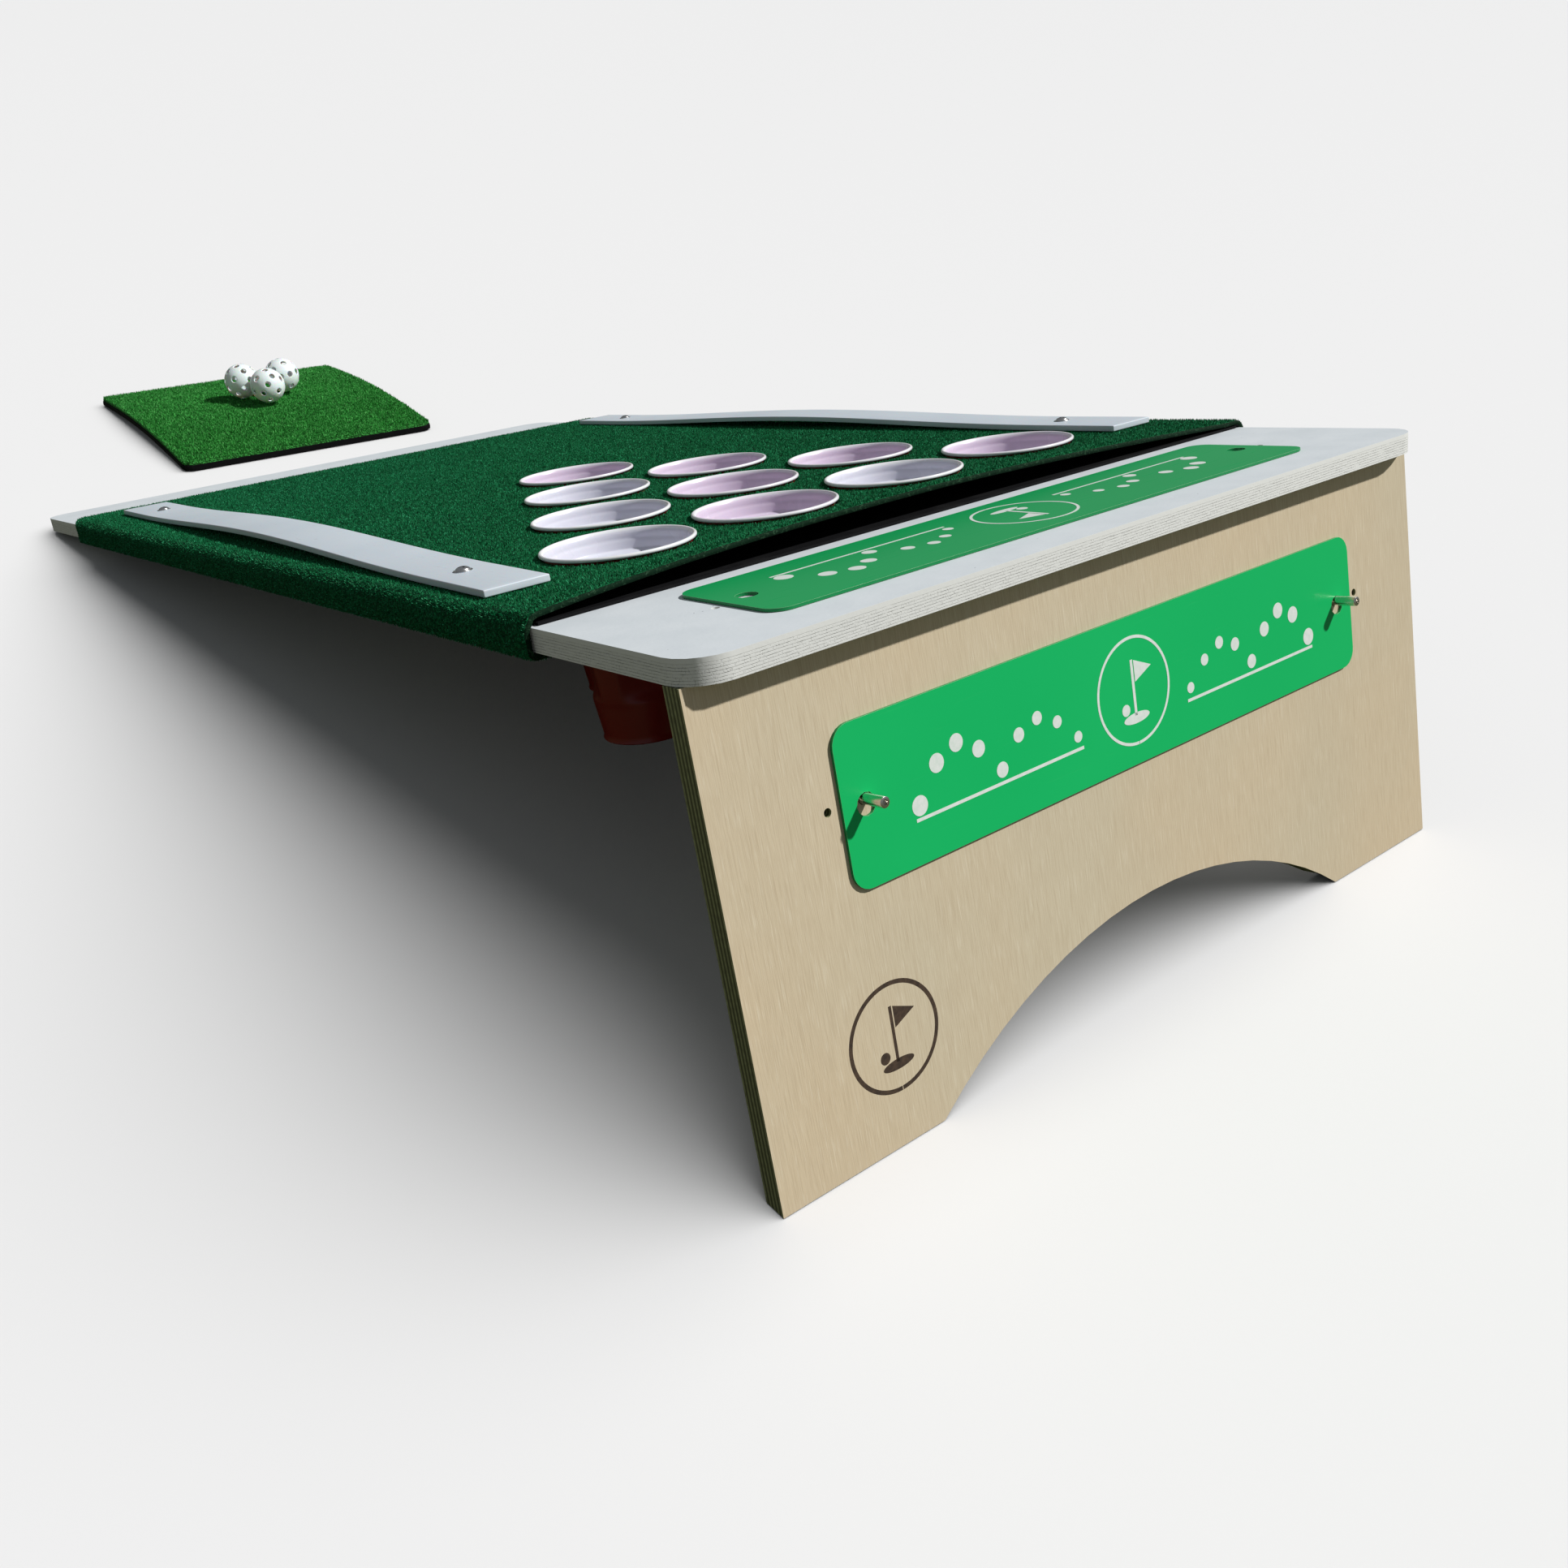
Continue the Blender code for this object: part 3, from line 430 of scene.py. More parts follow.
def makeBlades(name, deep, fresh, tip, tufts):
    # single blades: each tuft and each blade has its own tone; blades are painted darker towards their roots
    # as painted shade in the pile, and the palest are painted lighter towards their tips as painted light
    f = Finish(name, specular=0.12)
    single = f.node("ShaderNodeAttribute", {"attribute_name": "tone"}, None, "Fac")
    rise = f.node("ShaderNodeAttribute", {"attribute_name": "rise"}, None, "Fac")
    tuft, _, _ = f.split(f.voronoi(f.place(), tufts, "Color"))
    tone = single * 0.45 + tuft * 0.55
    cloud = f.noise(f.place(), 12, 3)
    colour = f.mix(f.fade(tone, 0.15, 0.72), deep, fresh)
    # painted light: the palest blades lighten towards their tips
    colour = f.mix(f.fade(tone, 0.70, 0.92) * rise, colour, tip)
    colour = f.mix(f.fade(cloud, 0.35, 0.75) * 0.2, colour, deep)
    # painted shade: every blade darkens halfway to the deep green at its root
    f.feed("colour", f.mix(rise, f.mix(0.5, colour, deep), colour))
    f.feed("roughness", f.fade(tone, 0, 1, 0.62, 0.40))
    return f


def makeRubber():
    # gritty black rubber with a little dust on it
    f = Finish("blackRubber", specular=0.12)
    place = f.place()
    grit = f.noise(place, 900, 3, 0.6)
    dust = f.noise(place, 60, 4, 0.65)
    colour = f.mix(f.fade(dust, 0.5, 0.8) * 0.5, (0.004, 0.004, 0.005), (0.016, 0.016, 0.016))
    return f.dressed(colour, f.fade(dust, 0.3, 0.7, 0.68, 0.88), grit, 0.5, 0.0005)


def makeRailPlastic():
    # cool white plastic with scuffs along its length
    f = Finish("railPlastic", specular=0.3, subsurface=0.06, subsurfaceScale=0.004)
    place = f.onBoard()
    cloud = f.noise(place, 18, 3)
    scuff = f.fade(f.noise(f.onBoard((9, 1, 9)), 55, 4, 0.7), 0.62, 0.70)
    colour = f.mix(cloud, (0.575, 0.650, 0.730), (0.655, 0.715, 0.780))
    height = f.noise(place, 500, 2) * 0.35 - scuff * 0.5
    return f.dressed(f.mix(scuff * 0.35, colour, (0.42, 0.45, 0.48)), 0.36 + scuff * 0.2 + cloud * 0.08,
                     height, 0.2, 0.0003)


def makeCupPlastic(name, first, second, rough, coat, rim=None):
    # thin pressed plastic, with orange peel
    f = Finish(name, coat=coat, coatRough=0.18, subsurface=0.05, subsurfaceScale=0.003)
    place = f.place()
    cloud = f.noise(place, 40, 3)
    colour = f.mix(cloud, first, second)
    if rim is not None:
        # the top of the rolled rim is painted whiter than the wall below it: painted light on the rim's top
        _, _, level = f.split(f.onBoard())
        colour = f.mix(f.fade(level, 0.0072, 0.0082), colour, rim)
    roughness = f.fade(cloud, 0.3, 0.7, rough, rough + 0.08)
    return f.dressed(colour, roughness, f.noise(place, 320, 2), 0.08, 0.0003)


def makeBallPlastic():
    # waxy white plastic with grass smudges
    f = Finish("ballPlastic", subsurface=0.35, subsurfaceScale=0.006)
    place = f.place()
    cloud = f.noise(place, 90, 3)
    smudge = f.fade(f.noise(place, 160, 4, 0.7), 0.60, 0.72)
    colour = f.mix(cloud, (0.86, 0.89, 0.91), (0.91, 0.93, 0.94))
    return f.dressed(f.mix(smudge * 0.25, colour, (0.45, 0.47, 0.42)), 0.38 + smudge * 0.2,
                     f.noise(place, 700, 2), 0.12, 0.0002)


def makeSteel(name, first, second, rough, cross=False):
    # drawn steel with fine streaks; a screw's head also has its cross recess, painted near black as painted
    # shade
    f = Finish(name, metallic=1.0)
    place = f.place()
    streak = f.noise(place, 1400, 3, 0.6)
    tarnish = f.noise(place, 180, 4, 0.6)
    colour = f.mix(f.fade(tarnish, 0.35, 0.75), first, second)
    height = streak * 0.3
    if cross:
        u, v, _ = f.split(f.node("ShaderNodeTexCoord", output="UV"))
        across, along = (u - 0.5).math("ABSOLUTE"), (v - 0.5).math("ABSOLUTE")
        slotWide, slotLong = 0.032, 0.125
        recess = ((across < slotWide) * (along < slotLong)).math(
            "MAXIMUM", (along < slotWide) * (across < slotLong))
        # painted shade: the cross recess is painted near black
        colour = f.mix(recess, colour, (0.03, 0.03, 0.03))
        height = height - recess * 3
    return f.dressed(colour, f.fade(tarnish, 0.3, 0.7, rough, rough + 0.16), height, 0.25, 0.0004)


whitePaint = makePaint()
birch = makeBirch()
# both plates are one printed green: the leg plate's lighter green is painted light and the header plate's
# darker green is painted shade
headerGreen = makePlateGreen("glossGreenHeader", boardNormal, (0.006, 0.330, 0.092), (0.010, 0.365, 0.106))
legGreen = makePlateGreen("glossGreenLeg", legNormal, (0.007, 0.465, 0.125), (0.012, 0.510, 0.143))
markWear = (340, 4, 0.65), (0.35, 0.75)
plateWhite = makeWorn("plateWhite", *markWear, (0.80, 0.84, 0.82), (0.66, 0.76, 0.70), (0.28, 0.43),
                      (0.15, 0.0002))
burnBrown = makeWorn("burnedMark", *markWear, (0.030, 0.017, 0.010), (0.085, 0.050, 0.028), (0.75, 0.90),
                     (0.15, 0.0002))
turfDark = {"deep": (0.0022, 0.055, 0.020), "fresh": (0.0100, 0.270, 0.092), "tip": (0.13, 0.80, 0.44)}
turfBright = {"deep": (0.017, 0.122, 0.020), "fresh": (0.085, 0.590, 0.105), "tip": (0.42, 0.94, 0.38)}
boardTurf = makeTurf("boardTurf", **turfDark)
boardBlades = makeBlades("boardBlades", **turfDark, tufts=720)
matTurf = makeTurf("matTurf", **turfBright)
matBlades = makeBlades("matBlades", **turfBright, tufts=470)
rubber = makeRubber()
# the turf's black latex underside, and its cut edge with a few pale threads
backing = makeWorn("latexBacking", (700, 3, 0.6), (0, 1), (0.004, 0.005, 0.005), (0.015, 0.017, 0.016),
                   (0.8, 0.95), (0.6, 0.0006))
cutEdge = makeWorn("cutBacking", (480, 4, 0.7), (0.54, 0.70), (0.0015, 0.016, 0.006), (0.035, 0.085, 0.045),
                   (0.7, 0.9), (0.7, 0.0008), specular=0.1)
railPlastic = makeRailPlastic()
cupRed = makeCupPlastic("cupRed", (0.20, 0.0025, 0.002), (0.25, 0.004, 0.003), 0.32, 0.04)
# the white insides are tinted lilac: painted shade, the cool tint of shade under the sky
cupWhite = makeCupPlastic("cupWhite", (0.67, 0.67, 0.77), (0.73, 0.73, 0.82), 0.22, 0.2,
                          (0.86, 0.87, 0.90))
# six cups' insides are tinted pink: painted red light that stands in for sun coming through the red outer
# wall
redGlowInside = makeCupPlastic("cupWhiteRedGlow", (0.67, 0.56, 0.71), (0.72, 0.62, 0.76), 0.22, 0.2,
                      (0.84, 0.83, 0.88))
ballPlastic = makeBallPlastic()
polished = makeSteel("polishedSteel", (0.72, 0.70, 0.66), (0.58, 0.55, 0.50), 0.16)
screwSteel = makeSteel("screwSteel", (0.66, 0.67, 0.68), (0.52, 0.52, 0.52), 0.22, cross=True)
zinc = makeSteel("zincSteel", (0.50, 0.51, 0.52), (0.36, 0.36, 0.36), 0.32)
print("finishes made")


# ---- board, plates and leg

plate = {"gap": 0.3 * mm, "cadThick": 2.5 * mm, "thick": 1.6 * mm}
copyNode("base_board", "board", [whitePaint], 2.2 * mm, "boardPanel", 4)
copyNode("leg_panel", "leg", [birch], 0.5 * mm, "legPanel")
copyNode("header_sign_plate", "board", [headerGreen], 0.35 * mm, "headerPlate",
         thin=(onBoard(0.0, 0.0, 0.0), boardNormal))
copyNode("leg_sign_plate", "leg", [legGreen], 0.35 * mm, "legPlate",
         thin=(onLeg(0.0, 0.0, 0.0), -Vector(legNormal)))
finishNode("underlay_sheet", rubber)

marks = {"ring": 31 * mm, "line": 1.7 * mm, "flag": 26 * mm, "discs": 9, "disc": 4.6 * mm, "rise": 26 * mm,
         "span": 118 * mm, "out": 108 * mm, "lift": 0.04 * mm, "thick": 0.06 * mm}
burn = {"x": -205 * mm, "h": -205 * mm, "ring": 30 * mm, "line": 2.4 * mm, "flag": 25 * mm}


def ringedFlag(cx, cz, sizes):
    # a ring with a pennant on a pole and a ball in it; the ring's outline is open at its lowest point
    size = sizes["flag"]
    out = arcPoints(cx, cz, sizes["ring"], -89.6, 269.6, 64)
    back = arcPoints(cx, cz, sizes["ring"] - sizes["line"], 269.6, -89.6, 64)
    pole = np.array([[-0.05, -0.55], [0.03, -0.55], [0.03, 0.68], [-0.05, 0.68]]) * size
    cloth = np.array([[0.06, 0.66], [0.06, 0.18], [0.62, 0.42]]) * size
    ground = arcPoints(0, -0.60 * size, 0.42 * size, 0, 360, 40)[:-1]
    ground[:, 1] = -0.60 * size + (ground[:, 1] + 0.60 * size) * 0.28
    ball = arcPoints(-0.32 * size, -0.36 * size, 0.13 * size, 0, 360, 28)[:-1]
    return [np.concatenate([out, back])] + [part + (cx, cz) for part in (pole, cloth, ground, ball)]


def bounceOutlines(cx, cz, way):
    # a ball's hops towards the middle: discs along two arches, shrinking as they go, over a ground line
    share = np.linspace(0, 1, marks["discs"])
    x = cx + way * (share - 0.5) * marks["span"]
    z = cz - 12 * mm + marks["rise"] * np.abs(np.sin(share * 2 * math.pi)) * (1 - 0.35 * share)
    radius = marks["disc"] * (1.15 - 0.45 * share)
    discs = [arcPoints(a, b, r, 0, 360, 24)[:-1] for a, b, r in zip(x, z, radius)]
    base = np.array([[-0.5, -1], [0.5, -1], [0.5, 1], [-0.5, 1]]) * (marks["span"] * 1.06, 0.9 * mm)
    return discs + [base + (cx, cz - 19 * mm)]


def addMarks(name, outlines, frameAt, body, finish):
    # each flat outline of (u, v) points gets a thickness, with one face above and one below
    work = bmesh.new()
    for outline in outlines:
        low, high = ([work.verts.new(p) for p in frameAt(*outline.T, w)] for w in (0.0, marks["thick"]))
        work.faces.new(low[::-1])
        work.faces.new(high)
        for i in range(len(low)):
            j = (i + 1) % len(low)
            work.faces.new((low[i], low[j], high[j], high[i]))
    bmesh.ops.recalc_face_normals(work, faces=work.faces)
    addPiece(name, finished(work, bpy.data.meshes.new(name)), body, [finish])


def plateOutlines(cx, cz):
    found = ringedFlag(cx, cz, marks)
    for way in (-1, 1):
        found += bounceOutlines(cx - way * marks["out"], cz, way)
    return found


plateTop = plate["gap"] + plate["thick"] + marks["lift"]
addMarks("headerMarks", plateOutlines(3 * mm, -74 * mm),
         lambda u, v, w: onBoard(-u, -v, plateTop + w), "board", plateWhite)
addMarks("legMarks", plateOutlines(0.0, -82.2 * mm),
         lambda u, v, w: onLeg(u, -plateTop - w, v), "leg", plateWhite)
addMarks("burnedFlag", ringedFlag(burn["x"], burn["h"], burn),
         lambda u, v, w: onLeg(u, -0.01 * mm - w * 0.3, v), "leg", burnBrown)
print("board, plates and leg made")


# ---- cups

cup = {"pitch": 111.8 * mm, "rowStep": 109 * mm, "firstRow": 246 * mm, "rows": 4, "height": 118.5 * mm,
       "rim": 47.5 * mm, "bead": 1.25 * mm, "base": 28 * mm, "wall": 1.0 * mm, "ledge": 12 * mm,
       "step": 1.5 * mm, "ring": 5 * mm, "stack": 92 * mm, "rimHeight": 8.1 * mm, "steps": 128,
       "square": 0.85, "turn": math.radians(66), "sideEnd": 88 * mm, "round": 5 * mm,
       "redGlowInside": (2, 4, 6, 7, 9, 10)}
cupPlaces = [((i - (3 - row) / 2) * cup["pitch"], cup["firstRow"] + row * cup["rowStep"])
             for row in range(cup["rows"]) for i in range(cup["rows"] - row)]
cupX, cupY = np.array(cupPlaces).T


def sCurve(value, middle, width):
    # from 0 to 1 in an S round the middle
    return 1 / (1 + np.exp(-(value - middle) / width))


def cupWall(height):
    # radius of the outer wall: a straight taper with a ring and a ledge below the rim and a stacking step
    depth = -height
    mouth = cup["rim"] - 1.5 * cup["bead"]
    taper = mouth - cup["step"] * 0.4 - (mouth - cup["step"] - cup["base"]) * depth / cup["height"]
    ring = 0.35 * mm * np.exp(-((depth - cup["ring"]) / (1.1 * mm)) ** 2)
    ledge = cup["step"] * sCurve(depth, cup["ledge"], 0.22 * mm)
    return taper - ledge - 0.6 * mm * sCurve(depth, cup["stack"], 0.8 * mm) + ring


def cupProfile():
    # (radius, height) from the inner floor up the white inside, over the bead and down the red outside
    bottom = cup["bead"] - cup["height"]
    heights = -np.concatenate([np.linspace(1.2, 9.6, 10), np.linspace(10, 15, 16), np.linspace(16, 90, 38),
                               np.linspace(91, -(bottom + 3 * mm) / mm, 16)]) * mm
    outer = np.stack([cupWall(heights), heights], -1)
    inner = outer - (cup["wall"], 0)
    bead = arcPoints(cup["rim"] - cup["bead"], 0, cup["bead"], -120, 160, 16)
    edge, floor = inner[-1]
    innerFloor = np.array([[edge - 1.2 * mm, floor - 0.6 * mm], [20 * mm, floor - 0.9 * mm],
                           [14 * mm, floor + 0.2 * mm], [0, floor + 0.2 * mm]])
    foot = np.array([[cup["base"], bottom + 0.6 * mm], [cup["base"] - 0.5 * mm, bottom],
                     [cup["base"] - 1.4 * mm, bottom + 0.3 * mm], [cup["base"] - 2.2 * mm, floor - 2.2 * mm],
                     [0, floor - 1.6 * mm]])
    whiteRows = len(innerFloor) + len(inner) + len(bead) * 3 // 4
    return np.concatenate([innerFloor[::-1], inner[::-1], bead[::-1], outer, foot]), whiteRows


def cupMesh(name, cx, cy):
    profile, whiteRows = cupProfile()
    level = profile[:, 1:]
    angle = np.linspace(0, 2 * math.pi, cup["steps"], endpoint=False)
    # below the ledge the wall has four flat sides with round corners, down to a round foot
    away = np.abs((angle - cup["turn"] + math.pi / 4) % (math.pi / 2) - math.pi / 4)
    flat = 1 - np.minimum(1, cup["square"] / np.cos(away))
    # each side's upper corners are round: it starts lower as it nears the corner
    nearCorner = np.clip((away / math.acos(cup["square"]) - 0.7) / 0.3, 0, 1)
    late = cup["round"] * (1 - np.sqrt(1 - nearCorner ** 2))
    begun = sCurve(-level, cup["ledge"] + 0.8 * mm + late, 0.3 * mm)
    band = begun * sCurve(level, -cup["sideEnd"], 1.6 * mm)
    onWall = profile[:, :1] > 24 * mm
    radius = profile[:, :1] * (1 - band * onWall * flat)
    points = onBoard(cx + radius * np.cos(angle), cy + radius * np.sin(angle), level + cup["rimHeight"])
    slots = np.repeat(np.where(np.arange(len(profile) - 1) < whiteRows, 0, 1), cup["steps"])
    faces = gridFaces(len(profile), cup["steps"], closed=True)
    return smooth(weld(meshFrom(name, points.reshape(-1, 3), faces, None, slots)), 50)


for number, (cx, cy) in enumerate(cupPlaces, 1):
    name = f"cup{number:02d}"
    # the listed cups get the inside with painted red light
    inside = redGlowInside if number in cup["redGlowInside"] else cupWhite
    addPiece(name, cupMesh(name, cx, cy), f"cup_{number:02d}_body", [inside, cupRed],
             (f"cup_{number:02d}",))
print("cups made")


# ---- turf on the board

turf = {"thick": 3.0 * mm, "top": 5.6 * mm, "side": 294.6 * mm, "shoulder": 9 * mm, "under": -16.6 * mm,
        "tuck": 30 * mm, "bulge": 11.4 * mm, "reach": 64 * mm, "corner": 17 * mm, "step": 4.4 * mm,
        "hole": 45.9 * mm, "lowBend": 5 * mm, "trim": 60 * mm, "clear": 46.6 * mm, "peak": -15 * mm,
        "leftFall": 2.6, "rightFall": 1.5}


def turfSection():
    # (x, z) of the turf's outer face, from under the left edge over the top to under the right edge
    t = turf
    lowBend = t["lowBend"]
    inner = t["side"] - t["tuck"]
    under = np.stack([np.linspace(-inner, -t["side"] + lowBend, 6), np.full(6, t["under"])], -1)[:-1]
    bend = arcPoints(-t["side"] + lowBend, t["under"] + lowBend, lowBend, 270, 180, 5)
    shoulder = arcPoints(-t["side"] + t["shoulder"], t["top"] - t["shoulder"], t["shoulder"], 180, 90, 8)
    half = t["side"] - t["shoulder"]
    across = np.linspace(-half, half, int(2 * half / t["step"]) + 1)[1:-1]
    flat = np.stack([across, np.full(len(across), t["top"])], -1)
    left = np.concatenate([under, bend, shoulder])
    return np.concatenate([left, flat, left[::-1] * (-1, 1)])


def turfLift(x, y):
    # how far the raised edge bows off the board: rounder on the left, falling off sooner on the right
    t = turf
    share = np.clip(np.abs(x - t["peak"]) / (t["side"] - 6 * mm), 0, 1)
    across = 1 - share ** np.where(x < t["peak"], t["leftFall"], t["rightFall"])
    along = np.clip((y - board["header"]) / t["reach"], 0, 1)
    return t["bulge"] * across * np.cos(along * math.pi / 2) ** 2


def turfGrid():
    # board coordinates of the whole outer face
    section = turfSection()
    start, end = board["header"], board["length"] - board["tail"]
    rows = np.linspace(start, end, int((end - start) / turf["step"]) + 1)
    x = np.broadcast_to(section[:, 0], (len(rows), len(section)))
    y = np.broadcast_to(rows[:, None], x.shape).copy()
    z = np.broadcast_to(section[:, 1], x.shape).copy()
    # far corners are trimmed round
    beyond = np.clip((np.abs(x) - (turf["side"] - turf["corner"])) / turf["corner"], 0, 1)
    trim = turf["corner"] * (1 - np.sqrt(1 - beyond ** 2)) * 0.8
    y -= trim * np.clip((y - (end - turf["trim"])) / turf["trim"], 0, 1)
    onTop = z > turf["top"] - 2 * mm
    z += np.where(onTop, turfLift(x, y), 0)
    return x, y, z


def openHoles(x, y, z):
    # points near a cup's circle move onto it; faces inside go
    top = z > 0
    keep = np.ones(x.shape, bool)
    x, y = x.copy(), y.copy()
    for cx, cy in cupPlaces:
        far = np.hypot(x - cx, y - cy)
        near = top & (np.abs(far - turf["hole"]) < 0.62 * turf["step"])
        scale = np.where(near, turf["hole"] / np.maximum(far, 1e-6), 1)
        x, y = cx + (x - cx) * scale, cy + (y - cy) * scale
        keep &= ~(top & ~near & (far < turf["hole"]))
    return x, y, keep


def makeTurfSheet():
    x, y, z = turfGrid()
    x, y, keep = openHoles(x, y, z)
    faces = gridFaces(*x.shape)
    faces = faces[keep.ravel()[faces].all(1)]
    # drop slivers whose four corners all lie on one circle
    middleX, middleY = x.ravel()[faces].mean(1), y.ravel()[faces].mean(1)
    nearest = np.hypot(middleX[:, None] - cupX, middleY[:, None] - cupY).min(1)
    faces = faces[(nearest > turf["hole"] - 0.4 * mm) | (z.ravel()[faces].mean(1) < 0)]
    points = onBoard(x, y, z).reshape(-1, 3)
    used, order = np.unique(faces, return_inverse=True)
    mesh = meshFrom("turfCover", points[used], order.reshape(faces.shape))
    highest = max(mesh.polygons, key=lambda face: face.center.z)
    if highest.normal.z < 0:
        mesh.flip_normals()
    mesh.shade_smooth()
    made = addPiece("turfCover", mesh, "board", [boardTurf, backing, cutEdge], ("turf_cover",))
    solid = made.modifiers.new("thickness", "SOLIDIFY")
    solid.thickness = turf["thick"]
    solid.offset = -1
    solid.use_even_offset = True
    solid.material_offset = 1
    solid.material_offset_rim = 2
    flat = (2 * (turf["side"] + turf["tuck"] + turf["lowBend"]),
            board["length"] - board["header"] - board["tail"])
    area = flat[0] * flat[1] - len(cupPlaces) * math.pi * turf["hole"] ** 2
    return np.stack([x, y, z], -1)


def scatterBlades(name, grid, allowed, frameAt, seed, shape, body, finish):
    # blades on a grid: a random face and place in it, a base edge turned at random, a leaning tip
    count = shape["count"]
    rng = np.random.default_rng(seed)
    rows, cols = grid.shape[:2]
    a, b, c = grid[:-1, :-1], grid[:-1, 1:], grid[1:, :-1]
    area = np.linalg.norm(np.cross(b - a, c - a), axis=-1).ravel()
    chosen = rng.choice(area.size, count, p=area / area.sum())
    r, q = chosen // (cols - 1), chosen % (cols - 1)
    u, v = rng.random(count)[:, None], rng.random(count)[:, None]
    low = grid[r, q] * (1 - u) + grid[r, q + 1] * u
    high = grid[r + 1, q] * (1 - u) + grid[r + 1, q + 1] * u
    root = low * (1 - v) + high * v
    good = allowed(root)
    root, r, q = root[good], r[good], q[good]
    normal = np.cross(grid[r, q + 1] - grid[r, q], grid[r + 1, q] - grid[r, q])
    normal /= np.linalg.norm(normal, axis=-1, keepdims=True) + 1e-12
    n = len(root)
    lean = rng.normal(size=(n, 3))
    lean -= (lean * normal).sum(-1, keepdims=True) * normal
    lean /= np.linalg.norm(lean, axis=-1, keepdims=True) + 1e-9
    across = np.cross(normal, lean)
    height = (shape["height"] * rng.uniform(0.65, 1.15, n))[:, None]
    width = (shape["width"] * rng.uniform(0.7, 1.3, n))[:, None]
    slant = (shape["lean"] * rng.uniform(0.2, 1.0, n))[:, None]
    tip = root + normal * height + lean * height * slant
    sunk = root - normal * 0.3 * mm
    corners = np.stack([sunk - across * width / 2, sunk + across * width / 2, tip], 1).reshape(-1, 3)
    mesh = meshFrom(name, frameAt(*corners.T), np.arange(3 * n).reshape(-1, 3))
    tone = mesh.attributes.new("tone", "FLOAT", "POINT")
    tone.data.foreach_set("value", np.repeat(rng.random(n), 3).astype(np.float32))
    climb = mesh.attributes.new("rise", "FLOAT", "POINT")
    climb.data.foreach_set("value", np.tile([0.0, 0.0, 1.0], n).astype(np.float32))
    addPiece(name, mesh, body, [finish])


def clearOfCups(root):
    far = np.hypot(root[:, :1] - cupX, root[:, 1:2] - cupY).min(1)
    return (far > turf["clear"]) | (root[:, 2] < 0)


turfGridPoints = makeTurfSheet()
boardBlade = {"height": 1.3 * mm, "width": 0.72 * mm, "lean": 0.4, "count": 195000}
for part, seed in enumerate((11, 12, 13), 1):
    scatterBlades(f"turfBlades{part}", turfGridPoints, clearOfCups, onBoard, seed, boardBlade, "board",
                  boardBlades)
print("turf made")


# ---- rails and their screws

rail = {"length": 768 * mm, "width": 40 * mm, "thick": 4.2 * mm, "bow": 5.5 * mm, "round": 0.7 * mm,
        "start": 200 * mm, "screwIn": 67 * mm, "under": 6.4 * mm, "rings": 120}
rails = {"left": (-250 * mm, math.radians(-1.6)), "right": (256 * mm, math.radians(-0.8))}


def railLift(along):
    # the strip bows up between its two screws
    share = np.clip(np.abs(along) / (rail["length"] / 2 - rail["screwIn"]), 0, 1)
    return rail["bow"] * np.cos(share * math.pi / 2) ** 2


def railMesh(name, side):
    r = rail
    halfW, halfT, bend = r["width"] / 2, r["thick"] / 2, r["round"]
    corners = ((halfW - bend, halfT - bend, 0), (-halfW + bend, halfT - bend, 90),
               (-halfW + bend, -halfT + bend, 180), (halfW - bend, -halfT + bend, 270))
    loop = np.concatenate([arcPoints(cx, cz, bend, start, start + 90, 4) for cx, cz, start in corners])
    ends = np.array([0, 0.08, 0.3, 0.7])
    inset = bend * (1 - np.sqrt(1 - (1 - ends) ** 2))
    half = r["length"] / 2
    along = np.concatenate([-half + ends * bend, np.linspace(-half + bend, half - bend, r["rings"]),
                            (half - ends * bend)[::-1]])
    shrink = np.concatenate([inset, np.zeros(r["rings"]), inset[::-1]])
    scaleX = 1 - shrink / halfW
    scaleZ = 1 - shrink / halfT
    x = loop[:, 0] * scaleX[:, None]
    z = loop[:, 1] * scaleZ[:, None] + halfT + railLift(along)[:, None]
    y = np.broadcast_to(along[:, None], x.shape)
    # a last ring at each end shrinks to its middle and closes it
    x = np.concatenate([x[:1] * 0, x, x[-1:] * 0])
    z = np.concatenate([z[:1] * 0 + z[0].mean(), z, z[-1:] * 0 + z[-1].mean()])
    y = np.concatenate([y[:1], y, y[-1:]])
    middle, skew = rails[side]
    across = middle + x * math.cos(skew) - y * math.sin(skew)
    down = r["start"] + half + x * math.sin(skew) + y * math.cos(skew)
    faces = gridFaces(*x.shape, closed=True)
    return smooth(weld(meshFrom(name, onBoard(across, down, z + r["under"]).reshape(-1, 3), faces)), 40)


railScrew = {"head": 4.4 * mm, "high": 2.1 * mm, "washer": 5.6 * mm, "shank": 1.9 * mm, "depth": 14 * mm}


def screwProfile(screw):
    # washer, domed head and a plain shank
    head, high, washer, shank, depth = (screw[key] for key in ("head", "high", "washer", "shank", "depth"))
    turns = np.linspace(0, math.pi / 2, 10)
    dome = [(head * math.sin(turn), 0.6 * mm + high * math.cos(turn)) for turn in turns]
    rest = [(head, 0.55 * mm), (washer, 0.5 * mm), (washer + 0.15 * mm, 0.3 * mm), (washer, 0.02 * mm),
            (shank, 0), (shank, -depth), (0, -depth - shank)]
    return np.array(dome + rest)


for side in rails:
    addPiece(f"rail_{side}", railMesh(f"rail_{side}", side), "board", [railPlastic],
             (f"side_rail_{side}",))
    middle, skew = rails[side]
    for end, way in (("near", -1), ("far", 1)):
        reach = way * (rail["length"] / 2 - rail["screwIn"])
        sx = middle - reach * math.sin(skew)
        sy = rail["start"] + rail["length"] / 2 + reach * math.cos(skew)
        top = rail["under"] + rail["thick"] + 0.05 * mm
        mesh = turnedMesh(f"railScrew_{side}_{end}", screwProfile(railScrew), 40,
                          lambda x, y, z: onBoard(sx + x, sy + y, top + z))
        addPiece(mesh.name, mesh, "board", [screwSteel], (f"rail_screw_{side}_{end}",))
print("rails made")


# ---- sign pins and hinges

